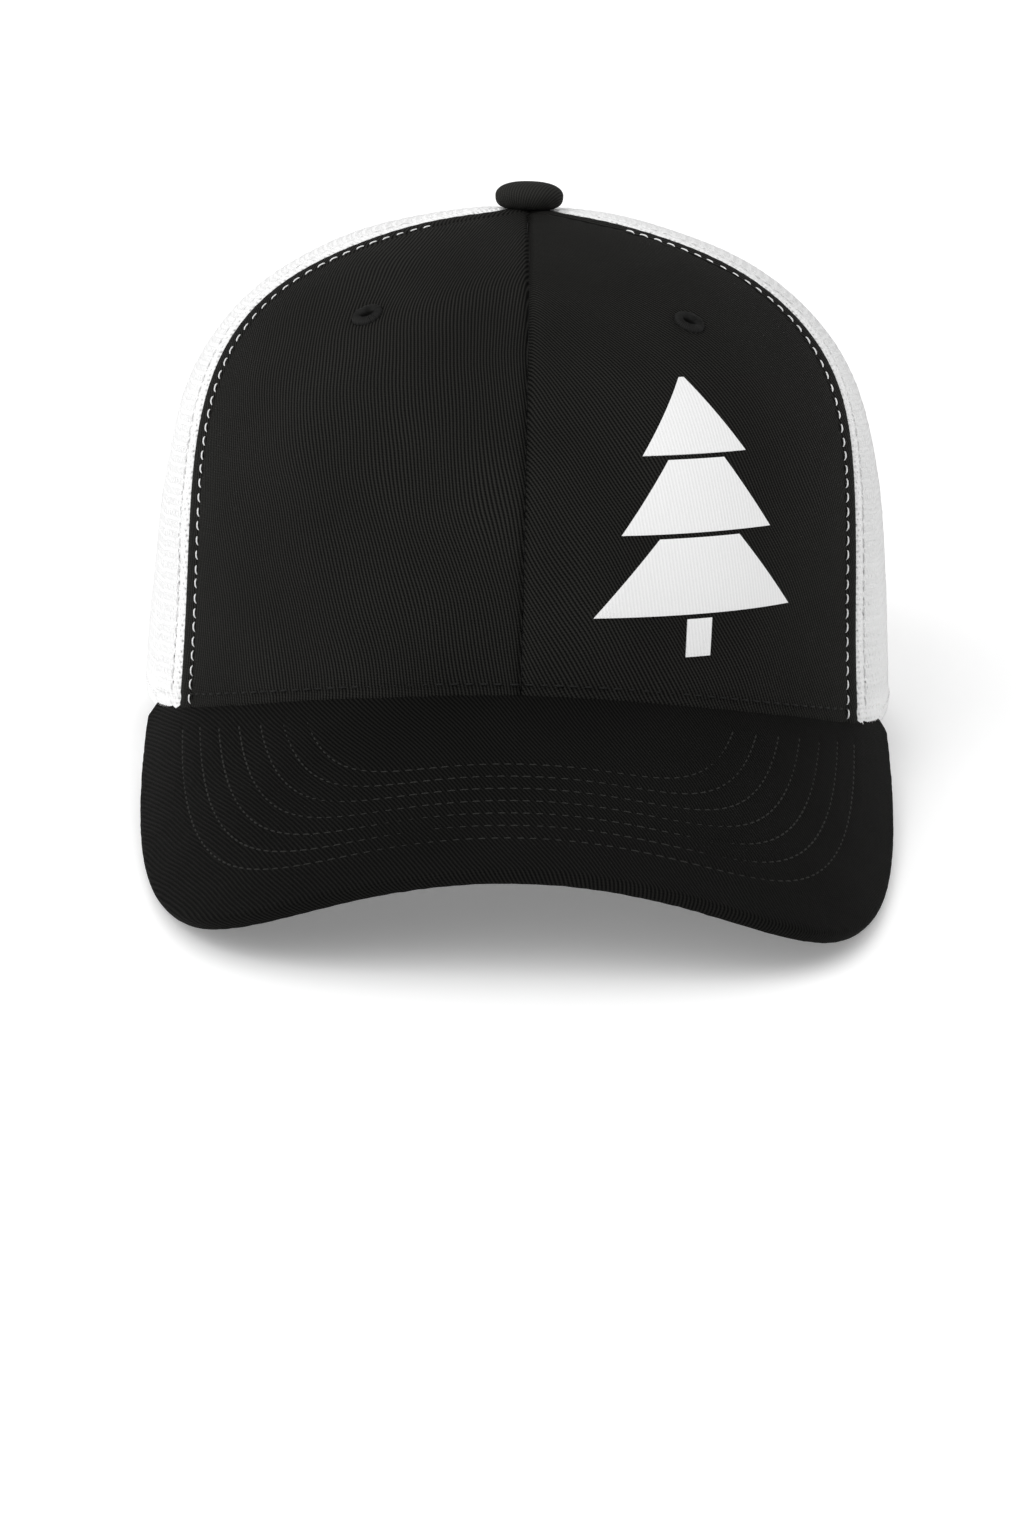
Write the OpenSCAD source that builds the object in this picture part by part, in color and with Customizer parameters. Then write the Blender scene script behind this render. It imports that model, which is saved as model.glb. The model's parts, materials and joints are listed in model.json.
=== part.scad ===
// Six-panel cap with a twill front, a mesh back, a curved visor and a snap strap.
// It stands on the two lobes of the visor and on the back of the crown, with +Z up,
// the visor towards -Y and the wearer's left towards +X. Every piece is drawn in the
// cap's own frame, where z = 0 is the temple plane, and is then set down by place().

/* [Crown] */
// Half of the crown's outside width at the base
crown_half_w = 86; // [80:1:92]
// Half of the crown's outside length at the base
crown_half_l = 101; // [95:1:107]
// Height from the temple plane to the top of the panels
crown_h = 111.6; // [100:0.1:124]
// Depth of the dip that the button pulls into the top
apex_dip = 1; // [0:0.1:2.4]
// Squareness of the crown's profile at the front
front_square = 4; // [3.4:0.1:5]
// Squareness of the crown's profile at the sides
side_square = 5.4; // [4:0.1:5.6]
// Squareness of the crown's profile at the back
back_square = 3.4; // [3:0.1:4]
// Roundness of the dome at the front and sides
dome_round = 1.7; // [1.45:0.05:1.9]
// Roundness of the dome at the back
back_round = 1.9; // [1.7:0.05:2.1]
// Share of the width that the walls lose by leaning in
wall_lean = 0.098; // [0.06:0.002:0.11]

/* [Seams] */
// Angle from the front to the front-side seam, at the base
front_seam_deg = 62; // [58:1:66]
// Extra angle of that seam halfway up
front_seam_bow = 13.5; // [6:0.5:15]
// Angle from the front to the side-back seam
back_seam_deg = 118; // [114:1:122]
// Width of the tapes that cover the seams inside
tape_w = 13; // [8:1:14]
// Distance from the front-side seam to the topstitch on the twill
panel_stitch_in = 6; // [4:0.1:8]
// Distance from the front-side seam to the topstitch on the mesh
mesh_stitch_in = 5.2; // [3:0.1:6]

/* [Fabric] */
// Thickness of the twill and of the mesh
cloth_t = 0.8; // [0.6:0.1:0.8]
// Thickness of the stiffener behind the front panels
buckram_t = 0.5; // [0.3:0.1:0.5]
// Height of the sweatband
sweatband_h = 32; // [26:1:36]

/* [Visor] */
// Length of the visor at its centre
visor_l = 70; // [62:1:76]
// Half of the visor's width, measured along its bend
visor_half_w = 94.5; // [93:0.5:98]
// Radius of the visor's sideways bend
visor_bend_r = 114; // [108:1:125]
// Slope of the visor below the horizontal
visor_slope = 18.1; // [16:0.1:22]
// Extra droop of the visor's ends
visor_droop = 3.5; // [2:0.5:5]
// Thickness of the visor
visor_t = 3.4; // [3.4:0.1:3.8]
// Number of stitch rows
visor_rows = 7; // [4:1:8]

/* [Vents and emblem] */
// Angle from the front to an eyelet
eyelet_deg = 37.8; // [34:0.1:42]
// Height of the eyelets
eyelet_z = 92.3; // [88:0.1:93]
// Angle from the front to the emblem's centre line
emblem_deg = 26.5; // [24:0.5:28]
// Extra angle of that line at the emblem's top
emblem_turn = 3; // [0:0.5:5]
// Height of the emblem's foot
emblem_z = 25; // [22:1:26]

/* [Closure] */
// Half of the angle that the back opening spans
arch_deg = 28; // [26:1:30]
// Height of the back opening
arch_h = 46; // [40:1:50]
// Height of the strap
strap_h = 16; // [12:1:16]
// Distance from peg to peg
peg_pitch = 7.5; // [7:0.1:7.6]
// Number of pegs, and of holes
peg_count = 7; // [5:1:7]

/* [Hidden] */

// Colours
black_twill = [0.10, 0.10, 0.11];
black_inside = [0.06, 0.06, 0.07];
white_mesh = [0.94, 0.94, 0.94];
white_trim = [0.97, 0.97, 0.96];

// Grids of the cloth sheets
panel_cols = [for (i = [0:9]) i / 9];
panel_rows = 13;
seam_gap = 0.15;
row_power = 1.35;
apex_s = 0.98;
dip_reach = 0.16;

// Layers, counted outwards from the crown's outer surface
buckram_out = -cloth_t - 0.2;
tape_out = -2;
tape_t = 0.5;
tape_top_s = 0.955;
tape_share = 0.45;
padding_out = -3.9;
padding_t = 0.5;
band_out = -4.6;
band_t = 0.6;
band_reach_deg = 143;
padding_reach_deg = 70;
thread_lo = 0.15;
thread_hi = 0.5;
thread_half_w = 0.25;
thread_top_s = 0.95;
hem_rise = 2.6;
topstitch_rise = 5.4;
vent_r = 1.1;
buckram_vent_r = vent_r + 0.6;

// Visor: the crown meets it from temple to temple, and its lowest points are its lobes
temple_share = 0.953;
temple_x = temple_share * crown_half_w;
temple_deg = asin(temple_share);
temple_bend = asin(temple_x / visor_bend_r);
temple_u = visor_bend_r * temple_bend * PI / 180;
temple_w = inner_w(temple_bend, crown_half_l * cos(temple_deg));
visor_z = temple_w * sin(visor_slope) + visor_drop(temple_bend) + visor_droop;
visor_tuck = 1;
visor_cols = [for (i = [-20:20]) i / 20];
edge_power = 5.5;
nose_power = 2;
first_row = 13.2;
row_pitch = 4.98;
row_clear = 6;
row_reach = 0.9;
crown_gap = 0.5;

// Back opening and strap
back_r = crown_half_w * crown_half_w / crown_half_l;
back_y = crown_half_l - back_r;
strap_z = 3;
strap_t = 1.2;
hole_strap_r = back_r - 4.2;
peg_strap_r = hole_strap_r - 1.6;
strap_top_z = strap_z + strap_h + 1;
side_deg = arch_deg * sqrt(1 - pow(strap_top_z / arch_h, 2));
hinge_deg = atan2(crown_half_w * sin(side_deg), crown_half_l * cos(side_deg) - back_y) - 2.6;
hinge_gap_deg = 0.75;
tab_deg = 12;
pitch_deg = peg_pitch / hole_strap_r * 180 / PI;
first_hole_deg = -16;
peg_setting = 5;
tip_deg = 3.4;
hole_end_deg = first_hole_deg - tip_deg;
peg_end_deg = first_hole_deg + peg_setting * pitch_deg + tip_deg;
hole_r = 2.5;
peg_r = 1.7;
peg_head_r = 1.8;
peg_head_rise = 0.1;
peg_head_h = 0.6;
binding_w = 7;
back_cols = concat(
    [for (i = [0:4]) column(lerp(back_seam_deg, 180 - arch_deg, i / 5))],
    [for (i = [0:9]) column(180 - arch_deg * cos(10 * i))]
);

// Set-down: the tilt that puts the visor's lobes and the crown's back on one plane
back_foot = raw(180 - arch_deg, 0);
lobes = [for (v = visor_cols) visor_point(edge_uw(v, 0), visor_t)];
tilt = max([for (p = lobes) atan2(back_foot.z - p.z, back_foot.y - p.y)]);
lift = -min([for (p = lobes) set_down(p).z]);
back_y_max = max([for (i = [0:30]) set_down(crown_point(180, i / 40, 0)).y]);
front_y_min = min([for (p = lobes) set_down(p).y]);

function lerp(a, b, f) = a + (b - a) * f;
function unit(v) = v / norm(v);
function smooth(f) = f <= 0 ? 0 : f >= 1 ? 1 : f * f * (3 - 2 * f);

// A point turned by the set-down tilt about the X axis
function set_down(p) = [
    p.x,
    p.y * cos(tilt) + p.z * sin(tilt),
    p.z * cos(tilt) - p.y * sin(tilt)
];

// Crown surface: phi runs round from the front towards the wearer's left, and s climbs
// from the base (0) to the top (1)
function by_side(front, side, back, phi) =
    side + (front - side) * pow(max(cos(phi), 0), 2) + (back - side) * pow(max(-cos(phi), 0), 2);
function square(phi) = by_side(front_square, side_square, back_square, phi);
function round_off(phi) = by_side(dome_round, dome_round, back_round, phi);
function climb(phi, s) = 90 * pow(s, square(phi) / 2);
function raw(phi, s) =
    let (
        tau = climb(phi, s),
        t = pow(sin(tau), 2 / square(phi)),
        g = pow(max(cos(tau), 0), 2 / round_off(phi)) * (1 - wall_lean * t)
    )
    [
        crown_half_w * sin(phi) * g,
        -crown_half_l * cos(phi) * g,
        crown_h * t - apex_dip * exp(-pow(g / dip_reach, 2))
    ];
function s_at(phi, z) = pow(asin(pow(max(z, 0) / crown_h, square(phi) / 2)) / 90, 2 / square(phi));
function along(phi, s) = unit(raw(phi + 0.5, s) - raw(phi - 0.5, s));
function up(phi, s) = unit(raw(phi, min(s + 0.004, 1)) - raw(phi, max(s - 0.004, 0)));
function normal(phi, s) = unit(cross(along(phi, s), up(phi, s)));
// A point of the crown, moved out of its surface and sideways along it
function crown_point(phi, s, out, side = 0) =
    raw(phi, s) + out * normal(phi, s) + side * along(phi, s);

// Seams 0 to 3 go from the front centre round to the back centre, and -1 to -3 mirror them
function seam(k, s) =
    let (front_seam = front_seam_deg + front_seam_bow * sin(2 * climb(65, s)))
    sign(k) * [0, front_seam, back_seam_deg, 180][abs(k)];
function column(phi) = (phi - back_seam_deg) / (180 - back_seam_deg);

// Height of the crown's lower edge: the visor's seat, the open base, then the back opening
function edge_z(phi) =
    let (a = abs(phi) > 180 ? 360 - abs(phi) : abs(phi))
    a < temple_deg ? max(visor_point(inner_uw(a / temple_deg, visor_tuck), 0).z, 0) :
    a > 180 - arch_deg ? arch_h * sqrt(max(1 - pow((180 - a) / arch_deg, 2), 0)) : 0;

// Visor surface: u runs across it along its bend, w runs forward, down goes through it
function visor_drop(bend) = visor_bend_r * (1 - cos(bend)) * cos(visor_slope);
function inner_w(bend, front) =
    (front - crown_half_l + visor_bend_r * (1 - cos(bend)) * sin(visor_slope)) / cos(visor_slope);
function inner_uw(v, tuck) =
    let (
        phi = v * temple_deg,
        bend = asin((crown_half_w - tuck) * sin(phi) / visor_bend_r)
    )
    [visor_bend_r * bend * PI / 180, inner_w(bend, (crown_half_l - tuck) * cos(phi))];
function edge_uw(v, inset) =
    let (t = 90 * pow(1 - pow(1 - abs(v), 1.6), edge_power / 2))
    [
        sign(v) * (visor_half_w - inset) * pow(sin(t), 2 / edge_power),
        temple_w + (visor_l - inset - temple_w) * pow(max(cos(t), 0), 2 / nose_power)
    ];
function visor_point(uw, down) =
    let (
        bend = uw.x / visor_bend_r * 180 / PI,
        top = [0, -sin(visor_slope), cos(visor_slope)],
        forward = [0, -cos(visor_slope), -sin(visor_slope)],
        droop = visor_droop * pow(min(abs(uw.x) / temple_u, 1.05), 8)
    )
    [0, -crown_half_l, visor_z - droop] - visor_bend_r * top + uw.y * forward
        + (visor_bend_r - down) * [sin(bend), cos(bend) * top.y, cos(bend) * top.z];
function visor_row(f, inset, down) =
    [for (v = visor_cols) visor_point(lerp(inner_uw(v, visor_tuck), edge_uw(v, inset), f), down)];

// Joins two equal grids of points, rows of columns, into one thin closed solid
module sheet(face, back) {
    rows = len(face);
    cols = len(face[0]);
    n = rows * cols;
    points = concat([for (r = face) each r], [for (r = back) each r]);
    quads = concat(
        [for (i = [0:rows - 2], j = [0:cols - 2])
            [i * cols + j, (i + 1) * cols + j, (i + 1) * cols + j + 1, i * cols + j + 1]],
        [for (i = [0:rows - 2], j = [0:cols - 2])
            [n + i * cols + j, n + i * cols + j + 1, n + (i + 1) * cols + j + 1, n + (i + 1) * cols + j]],
        [for (j = [0:cols - 2]) [j, j + 1, n + j + 1, n + j]],
        [for (j = [0:cols - 2])
            [n - cols + j + 1, n - cols + j, 2 * n - cols + j, 2 * n - cols + j + 1]],
        [for (i = [0:rows - 2]) [(i + 1) * cols, i * cols, n + i * cols, n + (i + 1) * cols]],
        [for (i = [0:rows - 2])
            [i * cols + cols - 1, (i + 2) * cols - 1, n + (i + 2) * cols - 1, n + i * cols + cols - 1]]
    );
    polyhedron(points, [for (q = quads) each [[q[0], q[1], q[2]], [q[0], q[2], q[3]]]]);
}

// Joins equal rings of points along a path into one closed solid
module sweep(rings) {
    k = len(rings[0]);
    ends = [[for (i = [k - 1:-1:0]) i], [for (i = [0:k - 1]) (len(rings) - 1) * k + i]];
    sides = [for (r = [0:len(rings) - 2], i = [0:k - 1])
        each [
            [r * k + i, r * k + (i + 1) % k, (r + 1) * k + (i + 1) % k],
            [r * k + i, (r + 1) * k + (i + 1) % k, (r + 1) * k + i]
        ]];
    polyhedron([for (r = rings) each r], concat(ends, sides));
}

// Sets a piece down on the ground plane, with the origin under the middle of the cap
module place() {
    translate([0, -(back_y_max + front_y_min) / 2, lift])
        rotate([-tilt, 0, 0])
            children();
}

// A cloth panel between two seams, from the crown's lower edge to the top
function panel_grid(k0, k1, columns, out, trim, raise) =
    [for (i = [0:panel_rows])
        [for (j = [0:len(columns) - 1])
            let (
                base = lerp(seam(k0, 0), seam(k1, 0), columns[j]),
                low = s_at(base, edge_z(base) + raise),
                s = lerp(low, apex_s, 1 - pow(1 - i / panel_rows, row_power)),
                phi = lerp(seam(k0, s), seam(k1, s), columns[j]),
                side = j == 0 ? trim : j == len(columns) - 1 ? -trim : 0
            )
            crown_point(phi, s, out, side)]];
module panel(k0, k1, columns, out, t, trim, raise) {
    sheet(
        panel_grid(k0, k1, columns, out, trim, raise),
        panel_grid(k0, k1, columns, out - t, trim, raise)
    );
}

// Turns the Z axis to the crown's normal at a place on it
module on_crown(phi, z) {
    s = s_at(phi, z);
    n = normal(phi, s);
    translate(raw(phi, s))
        rotate([0, acos(n.z), atan2(n.y, n.x)])
            children();
}
module vent(side, r) {
    on_crown(side * eyelet_deg, eyelet_z)
        cylinder(h = 8, r = r, center = true, $fn = 24);
}

module front_panel(side, k0, k1) {
    color(black_twill)
        difference() {
            panel(k0, k1, panel_cols, 0, cloth_t, seam_gap, crown_gap);
            vent(side, vent_r);
        }
}
module front_panel_left() { place() front_panel(1, 0, 1); }
module front_panel_right() { place() front_panel(-1, -1, 0); }

module buckram(side, k0, k1) {
    color(black_inside)
        difference() {
            panel(k0, k1, panel_cols, buckram_out, buckram_t, 1, 1.2);
            vent(side, buckram_vent_r);
        }
}
module buckram_left() { place() buckram(1, 0, 1); }
module buckram_right() { place() buckram(-1, -1, 0); }

module mesh_panel(k0, k1, columns) {
    color(white_mesh)
        panel(k0, k1, columns, 0, cloth_t, seam_gap, crown_gap);
}
module side_mesh_left() { place() mesh_panel(1, 2, panel_cols); }
module side_mesh_right() { place() mesh_panel(-2, -1, panel_cols); }
module back_mesh_left() { place() mesh_panel(2, 3, back_cols); }
module back_mesh_right() {
    place() mesh_panel(-3, -2, [for (f = reversed(back_cols)) 1 - f]);
}

// A tape inside along a seam, from a height above the edge to near the button
module seam_tape(k, rise) {
    low = s_at(seam(k, 0), edge_z(seam(k, 0)) + rise);
    steps = 18;
    grid = [for (out = [tape_out, tape_out - tape_t])
        [for (i = [0:steps])
            let (
                s = lerp(low, tape_top_s, 1 - pow(1 - i / steps, row_power)),
                spot = raw(seam(k, s), s),
                half = min(tape_w / 2, tape_share * norm([spot.x, spot.y]))
            )
            [for (side = [-half, 0, half]) crown_point(seam(k, s), s, out, side)]]];
    sheet(grid[0], grid[1]);
}
module seam_tape_front() { place() color(black_inside) seam_tape(0, 3); }
module seam_tape_front_left() { place() color(white_trim) seam_tape(1, 3); }
module seam_tape_front_right() { place() color(white_trim) seam_tape(-1, 3); }
module seam_tape_back_left() { place() color(white_trim) seam_tape(2, 3); }
module seam_tape_back_right() { place() color(white_trim) seam_tape(-2, 3); }
module seam_tape_back() { place() color(white_trim) seam_tape(3, 9); }

// A thread that runs up the crown beside a seam
module seam_thread(k, side) {
    low = s_at(seam(k, 0), edge_z(seam(k, 0)) + topstitch_rise);
    steps = 36;
    sweep([for (i = [0:steps])
        let (
            s = lerp(low, thread_top_s, i / steps),
            phi = seam(k, s)
        )
        [
            crown_point(phi, s, thread_lo, side - thread_half_w),
            crown_point(phi, s, thread_lo, side + thread_half_w),
            crown_point(phi, s, thread_hi, side + thread_half_w),
            crown_point(phi, s, thread_hi, side - thread_half_w)
        ]]);
}
module panel_topstitch_left() { place() color(white_trim) seam_thread(1, -panel_stitch_in); }
module panel_topstitch_right() { place() color(white_trim) seam_thread(-1, panel_stitch_in); }
module mesh_topstitch_left() { place() color(white_trim) seam_thread(1, mesh_stitch_in); }
module mesh_topstitch_right() { place() color(white_trim) seam_thread(-1, -mesh_stitch_in); }

// The thread that sews the sweatband to the crown, just above its lower edge
module hem_stitching() {
    reach = 180 - arch_deg - 9;
    steps = 72;
    place()
        color(black_twill)
            sweep([for (i = [-steps:steps])
                let (
                    phi = reach * i / steps,
                    low = s_at(phi, edge_z(phi) + hem_rise),
                    high = s_at(phi, edge_z(phi) + hem_rise + 2 * thread_half_w)
                )
                [
                    crown_point(phi, low, thread_hi),
                    crown_point(phi, high, thread_hi),
                    crown_point(phi, high, thread_lo),
                    crown_point(phi, low, thread_lo)
                ]]);
}

// An embroidered ring around a vent
module eyelet(side) {
    place()
        color(black_twill)
            on_crown(side * eyelet_deg, eyelet_z)
                rotate_extrude($fn = 48)
                    translate([2.35, 0.6])
                        scale([1.15, 0.45])
                            circle(r = 1, $fn = 24);
}
module eyelet_left() { eyelet(1); }
module eyelet_right() { eyelet(-1); }

emblem_h = 57;
// One tier of the tree: a patch that lies on the crown and narrows from foot to top
module tier(z0, z1, half0, half1) {
    grid = [for (out = [0.42, 0.17])
        [for (i = [0:4])
            let (
                z = emblem_z + lerp(z0, z1, i / 4),
                half = lerp(half0, half1, i / 4),
                mid = emblem_deg + emblem_turn * (z - emblem_z) / emblem_h,
                s = s_at(mid, z),
                per_deg = norm(raw(mid + 0.5, s) - raw(mid - 0.5, s))
            )
            [for (f = [-6:6])
                let (phi = mid + f / 6 * half / per_deg)
                crown_point(phi, s_at(phi, z), out)]]];
    sheet(grid[0], grid[1]);
}
module emblem() {
    place()
        color(white_trim) {
            tier(0, 8, 3, 3);
            tier(9, 25, 25, 10);
            tier(26, 41, 19, 7);
            tier(42, emblem_h, 13, 0.6);
        }
}

// Button on top: a cloth-covered metal cap, riveted through the crown to a washer inside
module pill(r, half_h, grow) {
    rotate_extrude($fn = 64)
        intersection() {
            translate([r - half_h, 0])
                circle(r = half_h + grow, $fn = 32);
            translate([0, -half_h - grow])
                square([r + grow, 2 * (half_h + grow)]);
        }
    cylinder(r = r - half_h, h = 2 * (half_h + grow), center = true, $fn = 64);
}
button_r = 7.7;
button_half_h = 3.1;
crown_top = crown_h - apex_dip;
button_z = crown_top + 0.35 + button_half_h;
module button_cover() {
    place()
        color(black_twill)
            translate([0, 0, button_z])
                difference() {
                    pill(button_r, button_half_h, 0);
                    pill(button_r, button_half_h, -0.6);
                    translate([0, 0, -button_half_h - 1])
                        cylinder(r = 4, h = 3, $fn = 48);
                }
}
module button_shell() {
    place()
        color("silver")
            translate([0, 0, button_z])
                difference() {
                    pill(button_r, button_half_h, -0.7);
                    pill(button_r, button_half_h, -1.1);
                    translate([0, 0, -button_half_h - 1])
                        cylinder(r = 4.5, h = 3, $fn = 48);
                }
}
module button_rivet() {
    place()
        color("silver")
            translate([0, 0, crown_top - 4.6]) {
                cylinder(r = 1.2, h = 7, $fn = 32);
                cylinder(r = 2, h = 0.8, $fn = 32);
                translate([0, 0, 6])
                    cylinder(r = 3.6, h = 1, $fn = 32);
            }
}
module button_washer() {
    place()
        color("silver")
            translate([0, 0, crown_top - 3.6])
                difference() {
                    cylinder(r = 5, h = 0.8, $fn = 48);
                    translate([0, 0, -1])
                        cylinder(r = 1.3, h = 3, $fn = 32);
                }
}

// Visor: a stiff board inside two cloth covers. The top cover wraps round the edge
visor_steps = 6;
cover_t = 0.7;
module visor_layer(inset, top, bottom) {
    sheet(
        [for (i = [visor_steps:-1:0]) visor_row(i / visor_steps, inset, top)],
        [for (i = [visor_steps:-1:0]) visor_row(i / visor_steps, inset, bottom)]
    );
}
module visor_board() {
    place()
        color("white")
            visor_layer(1.5, cover_t + 0.15, visor_t - cover_t - 0.15);
}
module visor_top_cover() {
    wrap_outside = [[2.6, visor_t], [0.5, visor_t - 0.35], [0, visor_t / 2], [0.35, 0.45], [1.2, 0]];
    wrap_inside = [
        [2.6, visor_t - cover_t], [1.25, visor_t - cover_t - 0.1], [cover_t, visor_t / 2],
        [0.95, 0.95], [1.3, cover_t]
    ];
    place()
        color(black_twill)
            sheet(
                concat(
                    [for (e = wrap_outside) visor_row(1, e[0], e[1])],
                    [for (i = [visor_steps - 1:-1:0]) visor_row(i / visor_steps, 1.2, 0)]
                ),
                concat(
                    [for (e = wrap_inside) visor_row(1, e[0], e[1])],
                    [for (i = [visor_steps - 1:-1:0]) visor_row(i / visor_steps, 1.3, cover_t)]
                )
            );
}
module visor_under_cover() {
    place()
        color(black_twill)
            visor_layer(3.1, visor_t - cover_t, visor_t);
}
module visor_stitching() {
    place()
        color(black_twill)
            for (k = [0:visor_rows - 1])
                visor_thread(first_row + row_pitch * k);
}
module visor_thread(inset) {
    run = [for (i = [-32:32])
        let (
            v = i / 32,
            uw = edge_uw(v, inset),
            bend = uw.x / visor_bend_r * 180 / PI,
            sin_phi = visor_bend_r * sin(bend) / crown_half_w,
            front = crown_half_l * sqrt(max(1 - sin_phi * sin_phi, 0))
        )
        if (abs(v) < row_reach && uw.y > inner_w(bend, front) + row_clear) v];
    sweep([for (v = run)
        [
            visor_point(edge_uw(v, inset - thread_half_w), -thread_lo),
            visor_point(edge_uw(v, inset - thread_half_w), -thread_hi),
            visor_point(edge_uw(v, inset + thread_half_w), -thread_hi),
            visor_point(edge_uw(v, inset + thread_half_w), -thread_lo)
        ]]);
}

// A band inside the crown, round from one foot of the back opening to the other
module inner_band(reach, low, high, out, t, steps) {
    grid = [for (o = [out, out - t])
        [for (i = [0:3])
            [for (j = [-steps:steps])
                let (phi = reach * j / steps)
                crown_point(phi, s_at(phi, edge_z(phi) + lerp(low, high, i / 3)), o)]]];
    sheet(grid[0], grid[1]);
}
module sweatband() {
    place()
        color(black_inside)
            inner_band(band_reach_deg, 0.3, sweatband_h, band_out, band_t, 36);
}
module sweatband_padding() {
    place()
        color(black_inside)
            inner_band(padding_reach_deg, 3, sweatband_h - 4, padding_out, padding_t, 18);
}

// A blank label sewn to the inside of the sweatband
module care_label() {
    grid = [for (out = [band_out - band_t - 0.3, band_out - band_t - 0.6])
        [for (i = [0:2])
            [for (j = [0:4])
                let (phi = 100 + 3 * j)
                crown_point(phi, s_at(phi, lerp(6, 26, i / 2)), out)]]];
    place()
        color(white_trim)
            sheet(grid[0], grid[1]);
}

// The tape folded over the edge of the back opening
function arch_point(a, grow, out) =
    let (
        phi = 180 - (arch_deg + grow / back_r * 180 / PI) * cos(a),
        z = crown_gap + (arch_h + grow) * sin(a)
    )
    crown_point(phi, s_at(phi, z), out);
function arch_row(grow, out) = [for (a = [0:5:180]) arch_point(a, grow, out)];
module arch_binding() {
    under = -cloth_t - 0.2;
    place()
        color(white_trim)
            sheet(
                [
                    arch_row(binding_w, under - 0.5), arch_row(-0.9, under - 0.5),
                    arch_row(-0.9, 0.7), arch_row(binding_w, 0.7)
                ],
                [
                    arch_row(binding_w, under), arch_row(-0.3, under),
                    arch_row(-0.3, 0.2), arch_row(binding_w, 0.2)
                ]
            );
}

// Snap strap: each half is an arc behind the back opening, counted in degrees from the
// back centre towards the wearer's left. Each is sewn in by a tab behind the mesh. Holes
// are counted from the tip of their strap, and the peg nearest to the tip of the other
// strap sits in hole number peg_setting, counted from 0.
function arc_point(r, deg) = [r * sin(deg), back_y + r * cos(deg)];
// One face of a strip, which steps by jog over the first eighth of its length
function strip_face(from, to, r, jog) =
    [for (f = [0:1 / 32:1]) arc_point(r + jog * smooth(8 * f), lerp(from, to, f))];
function reversed(list) = [for (i = [len(list) - 1:-1:0]) list[i]];
module strip(from, to, r, jog) {
    outer = strip_face(from, to, r + strap_t, jog);
    inner = strip_face(from, to, r, jog);
    translate([0, 0, strap_z])
        linear_extrude(height = strap_h)
            polygon(concat(outer, reversed(inner)));
}
module radial(deg, r, from, to) {
    translate([0, back_y, strap_z + strap_h / 2])
        rotate([0, 90, 90 - deg])
            translate([0, 0, from])
                cylinder(r = r, h = to - from, $fn = 32);
}
// The round bead that a strap turns on, at its sewn end
module hinge_bead(deg) {
    p = arc_point(hole_strap_r + strap_t / 2, deg);
    translate([p.x, p.y, strap_z])
        cylinder(r = strap_t / 2, h = strap_h, $fn = 32);
}
module hole_strap() {
    outer_r = hole_strap_r + strap_t;
    place()
        color(white_trim) {
            difference() {
                strip(hinge_deg, hole_end_deg, hole_strap_r, 0);
                for (i = [0:peg_count - 1])
                    radial(first_hole_deg + pitch_deg * i, hole_r, hole_strap_r - 1, outer_r + 1);
            }
            hinge_bead(hinge_deg);
        }
}
module peg_strap() {
    outer_r = hole_strap_r + strap_t;
    place()
        color(white_trim) {
            strip(-hinge_deg, peg_end_deg, hole_strap_r, peg_strap_r - hole_strap_r);
            hinge_bead(-hinge_deg);
            for (i = [0:peg_count - 1]) {
                deg = first_hole_deg + pitch_deg * (peg_setting - i);
                head = outer_r + peg_head_rise;
                radial(deg, peg_r, peg_strap_r + strap_t - 0.3, head);
                radial(deg, peg_head_r, head, head + peg_head_h);
            }
        }
}
module hole_strap_tab() {
    place()
        color(white_trim)
            strip(hinge_deg + tab_deg, hinge_deg + hinge_gap_deg, hole_strap_r, 0);
}
module peg_strap_tab() {
    place()
        color(white_trim)
            strip(-hinge_deg - tab_deg, -hinge_deg - hinge_gap_deg, hole_strap_r, 0);
}

front_panel_left();
front_panel_right();
buckram_left();
buckram_right();
side_mesh_left();
side_mesh_right();
back_mesh_left();
back_mesh_right();
seam_tape_front();
seam_tape_front_left();
seam_tape_front_right();
seam_tape_back_left();
seam_tape_back_right();
seam_tape_back();
panel_topstitch_left();
panel_topstitch_right();
mesh_topstitch_left();
mesh_topstitch_right();
hem_stitching();
eyelet_left();
eyelet_right();
emblem();
button_cover();
button_shell();
button_rivet();
button_washer();
visor_board();
visor_top_cover();
visor_under_cover();
visor_stitching();
sweatband();
sweatband_padding();
care_label();
arch_binding();
hole_strap();
hole_strap_tab();
peg_strap();
peg_strap_tab();
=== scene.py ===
"""Looks of the six-panel mesh cap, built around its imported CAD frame.

Lengths are millimetres in the cap's own frame (z = 0 is the temple plane, the front is -Y, the
wearer's left is +X) until place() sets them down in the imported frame, in metres. Angles are
degrees. phi runs round the crown from the front towards the wearer's left, and s climbs it.
"""

import json
import math

import bpy
import numpy as np
from mathutils import Matrix, Vector


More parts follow.
